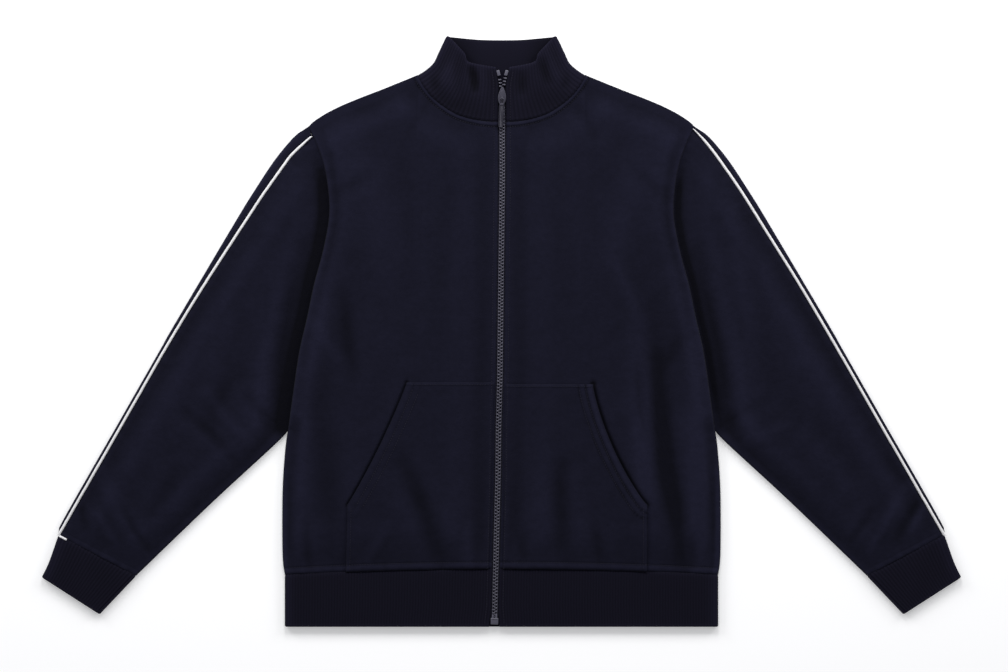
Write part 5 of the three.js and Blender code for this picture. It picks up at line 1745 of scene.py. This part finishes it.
class JACKET_OT_stitching(bpy.types.Operator):
    """Adds the rows of topstitching at the hem, neck, zip and pockets"""

    bl_idname = "jacket.stitching"
    bl_label = "Topstitching"

    def execute(self, context):
        places = []
        for side, s in SIDES.items():
            sign = s["sign"]
            cloths = [f"front_{side}_cloth", f"pocket_{side}_cloth"]
            ribs = ["hem_band_rib", "collar_rib"]
            places += stitches(hem_line(sign, HEM_ROW), cloths)
            places += stitches(hem_line(sign, HEM_ROW, 2.0), ["back_cloth"], True)
            places += stitches(beside(neckline_of(sign), NECK_ROW, sign), cloths, margin=4)
            places += stitches(zip_stitch_line(sign, ZIP_ROW, 4, 722), cloths + ribs)
            foot, head = mirrored(s["mouth_foot"], sign), mirrored(s["mouth_head"], sign)
            pocket = [f"pocket_{side}_cloth"]
            for away in MOUTH_ROWS:
                places += stitches(beside(mouth_line(side), away, -sign), pocket, margin=4 + 0.4 * away)
            outer = straight_line(mirrored(s["hem_at"], sign), foot)
            places += stitches(beside(outer, POCKET_ROW, -sign), pocket, margin=3)
            inner = zip_edge(head[1] - TOP_ROW, sign) + np.array([sign * (PLACKET + TOP_ROW), 0])
            top = straight_line(inner, (head[0] - sign * TOP_ROW, head[1] - TOP_ROW))
            places += stitches(top, pocket, margin=1)
        finished(scattered(stitch, places), "topstitching", "thread")
        return {"FINISHED"}


FLOOR_Z = -0.0002  # just under the cloth, so that no two faces lie in one plane
VIEW_MIDDLE = (3.25, 377.7, 0)
# Each softbox's place and size, and the setting that holds its power.
SOFTBOXES = {
    "left_softbox": ((-1.7, 1.45, 1.0), 0.9, "key_power"),
    "right_softbox": ((1.7, 1.45, 1.0), 0.9, "fill_power"),
    "top_softbox": ((0.0, 1.9, 1.3), 1.0, "top_power"),
}


class JACKET_OT_stage(bpy.types.Operator):
    """Adds the pale floor, the soft studio light and a camera straight above the jacket"""

    bl_idname = "jacket.stage"
    bl_label = "Floor, light and camera"

    def execute(self, context):
        scene = context.scene
        settings = scene.jacket_stage
        bm = bmesh.new()
        bmesh.ops.create_grid(bm, x_segments=1, y_segments=1, size=settings.floor_size / 2)
        for vert in bm.verts:
            vert.co.z = FLOOR_Z
        mesh = bpy.data.meshes.new("studio_floor")
        bm.to_mesh(mesh)
        bm.free()
        floor = bpy.data.objects.new("studio_floor", mesh)
        scene.collection.objects.link(floor)
        mesh.materials.append(material_of("floor"))
        for name, (place, size, power) in SOFTBOXES.items():
            light = bpy.data.lights.new(name, "AREA")
            light.size = size
            light.energy = getattr(settings, power)
            lamp = bpy.data.objects.new(name, light)
            lamp.location = place
            lamp.rotation_euler = (-Vector(place)).to_track_quat("-Z", "Y").to_euler()
            scene.collection.objects.link(lamp)
        world = bpy.data.worlds.new("Studio")
        world.use_nodes = True
        background = world.node_tree.nodes["Background"]
        background.inputs["Color"].default_value = linear("#f6f7fa")
        background.inputs["Strength"].default_value = settings.ambient
        scene.world = world
        camera = bpy.data.cameras.new("Camera")
        camera.sensor_width = 36
        camera.lens = camera.sensor_width * settings.camera_height / settings.view_width
        camera.clip_end = 50
        stand = bpy.data.objects.new("Camera", camera)
        stand.location = (*to_frame(VIEW_MIDDLE)[:2], settings.camera_height)
        scene.collection.objects.link(stand)
        scene.camera = stand
        scene.view_settings.view_transform = "Standard"
        return {"FINISHED"}


def colour_property(name, description, hex_colour):
    return bpy.props.FloatVectorProperty(
        name=name, description=description, default=linear(hex_colour),
        size=4, min=0, max=1, subtype="COLOR",
    )


def number_property(name, description, default, unit="LENGTH"):
    return bpy.props.FloatProperty(name=name, description=description, default=default, unit=unit)


class ClothSettings(bpy.types.PropertyGroup):
    """The jacket's cloths and trims"""

    fleece_colour: colour_property("Fleece", "Colour of the sweatshirt fleece", "#151523")
    rib_colour: colour_property("Rib", "Colour of the rib knit at the collar, hem and cuffs", "#11101c")
    piping_colour: colour_property("Piping", "Colour of the piping along the sleeves", "#f0eff1")
    thread_colour: colour_property("Thread", "Colour of the topstitching", "#201f2d")
    stitch_length: number_property("Stitch length", "Length of one visible stitch", 0.0025)
    stitch_pitch: number_property("Stitch pitch", "Distance from one stitch to the next", 0.0034)


class ZipSettings(bpy.types.PropertyGroup):
    """The front zip"""

    tape_colour: colour_property("Tape", "Colour of the woven tape", "#1c1b28")
    teeth_colour: colour_property("Teeth", "Colour of the moulded teeth, stops and box", "#4f4e5c")
    slider_colour: colour_property("Slider", "Colour of the slider's enamel", "#3e3d4a")
    grip_colour: colour_property("Grip", "Colour of the pull's rubber grip", "#22212e")


class StageSettings(bpy.types.PropertyGroup):
    """The studio round the jacket"""

    floor_colour: colour_property("Floor", "Colour of the matt floor", "#fafafb")
    floor_size: number_property("Floor size", "Width of the square floor", 30.0)
    view_width: number_property("View width", "Width of the floor that the camera sees", 1.3104)
    camera_height: number_property("Camera height", "Height of the camera over the floor", 6.0)
    key_power: number_property("Key light", "Power of the main softbox", 24.0, "POWER")
    fill_power: number_property("Fill light", "Power of the second softbox", 20.0, "POWER")
    top_power: number_property("Top light", "Power of the softbox beyond the collar", 30.0, "POWER")
    ambient: number_property("Ambient", "Strength of the even light from all round", 0.38, "NONE")


class JACKET_PT_build(bpy.types.Panel):
    """The jacket's pieces, one button each"""

    bl_idname = "JACKET_PT_build"
    bl_label = "Fleece jacket"
    bl_space_type = "VIEW_3D"
    bl_region_type = "UI"
    bl_category = "Jacket"

    def draw(self, context):
        column = self.layout.column()
        for operator in OPERATORS:
            column.operator(operator.bl_idname)
        for group, settings in GROUPS.items():
            column.separator()
            for key in settings.__annotations__:
                column.prop(getattr(context.scene, group), key)


OPERATORS = (
    JACKET_OT_back,
    JACKET_OT_fronts,
    JACKET_OT_sleeves,
    JACKET_OT_ribs,
    JACKET_OT_zip,
    JACKET_OT_slider,
    JACKET_OT_stitching,
    JACKET_OT_stage,
)
GROUPS = {"jacket_cloth": ClothSettings, "jacket_zip": ZipSettings, "jacket_stage": StageSettings}
CLASSES = (*GROUPS.values(), *OPERATORS, JACKET_PT_build)


def register():
    for cls in CLASSES:
        bpy.utils.register_class(cls)
    for group, settings in GROUPS.items():
        setattr(bpy.types.Scene, group, bpy.props.PointerProperty(type=settings))


def unregister():
    for group in GROUPS:
        delattr(bpy.types.Scene, group)
    for cls in reversed(CLASSES):
        bpy.utils.unregister_class(cls)


def main():
    register()
    bpy.ops.jacket.back()
    bpy.ops.jacket.fronts()
    bpy.ops.jacket.sleeves()
    bpy.ops.jacket.ribs()
    bpy.ops.jacket.zip()
    bpy.ops.jacket.slider()
    bpy.ops.jacket.stitching()
    bpy.ops.jacket.stage()


if __name__ == "__main__":
    main()
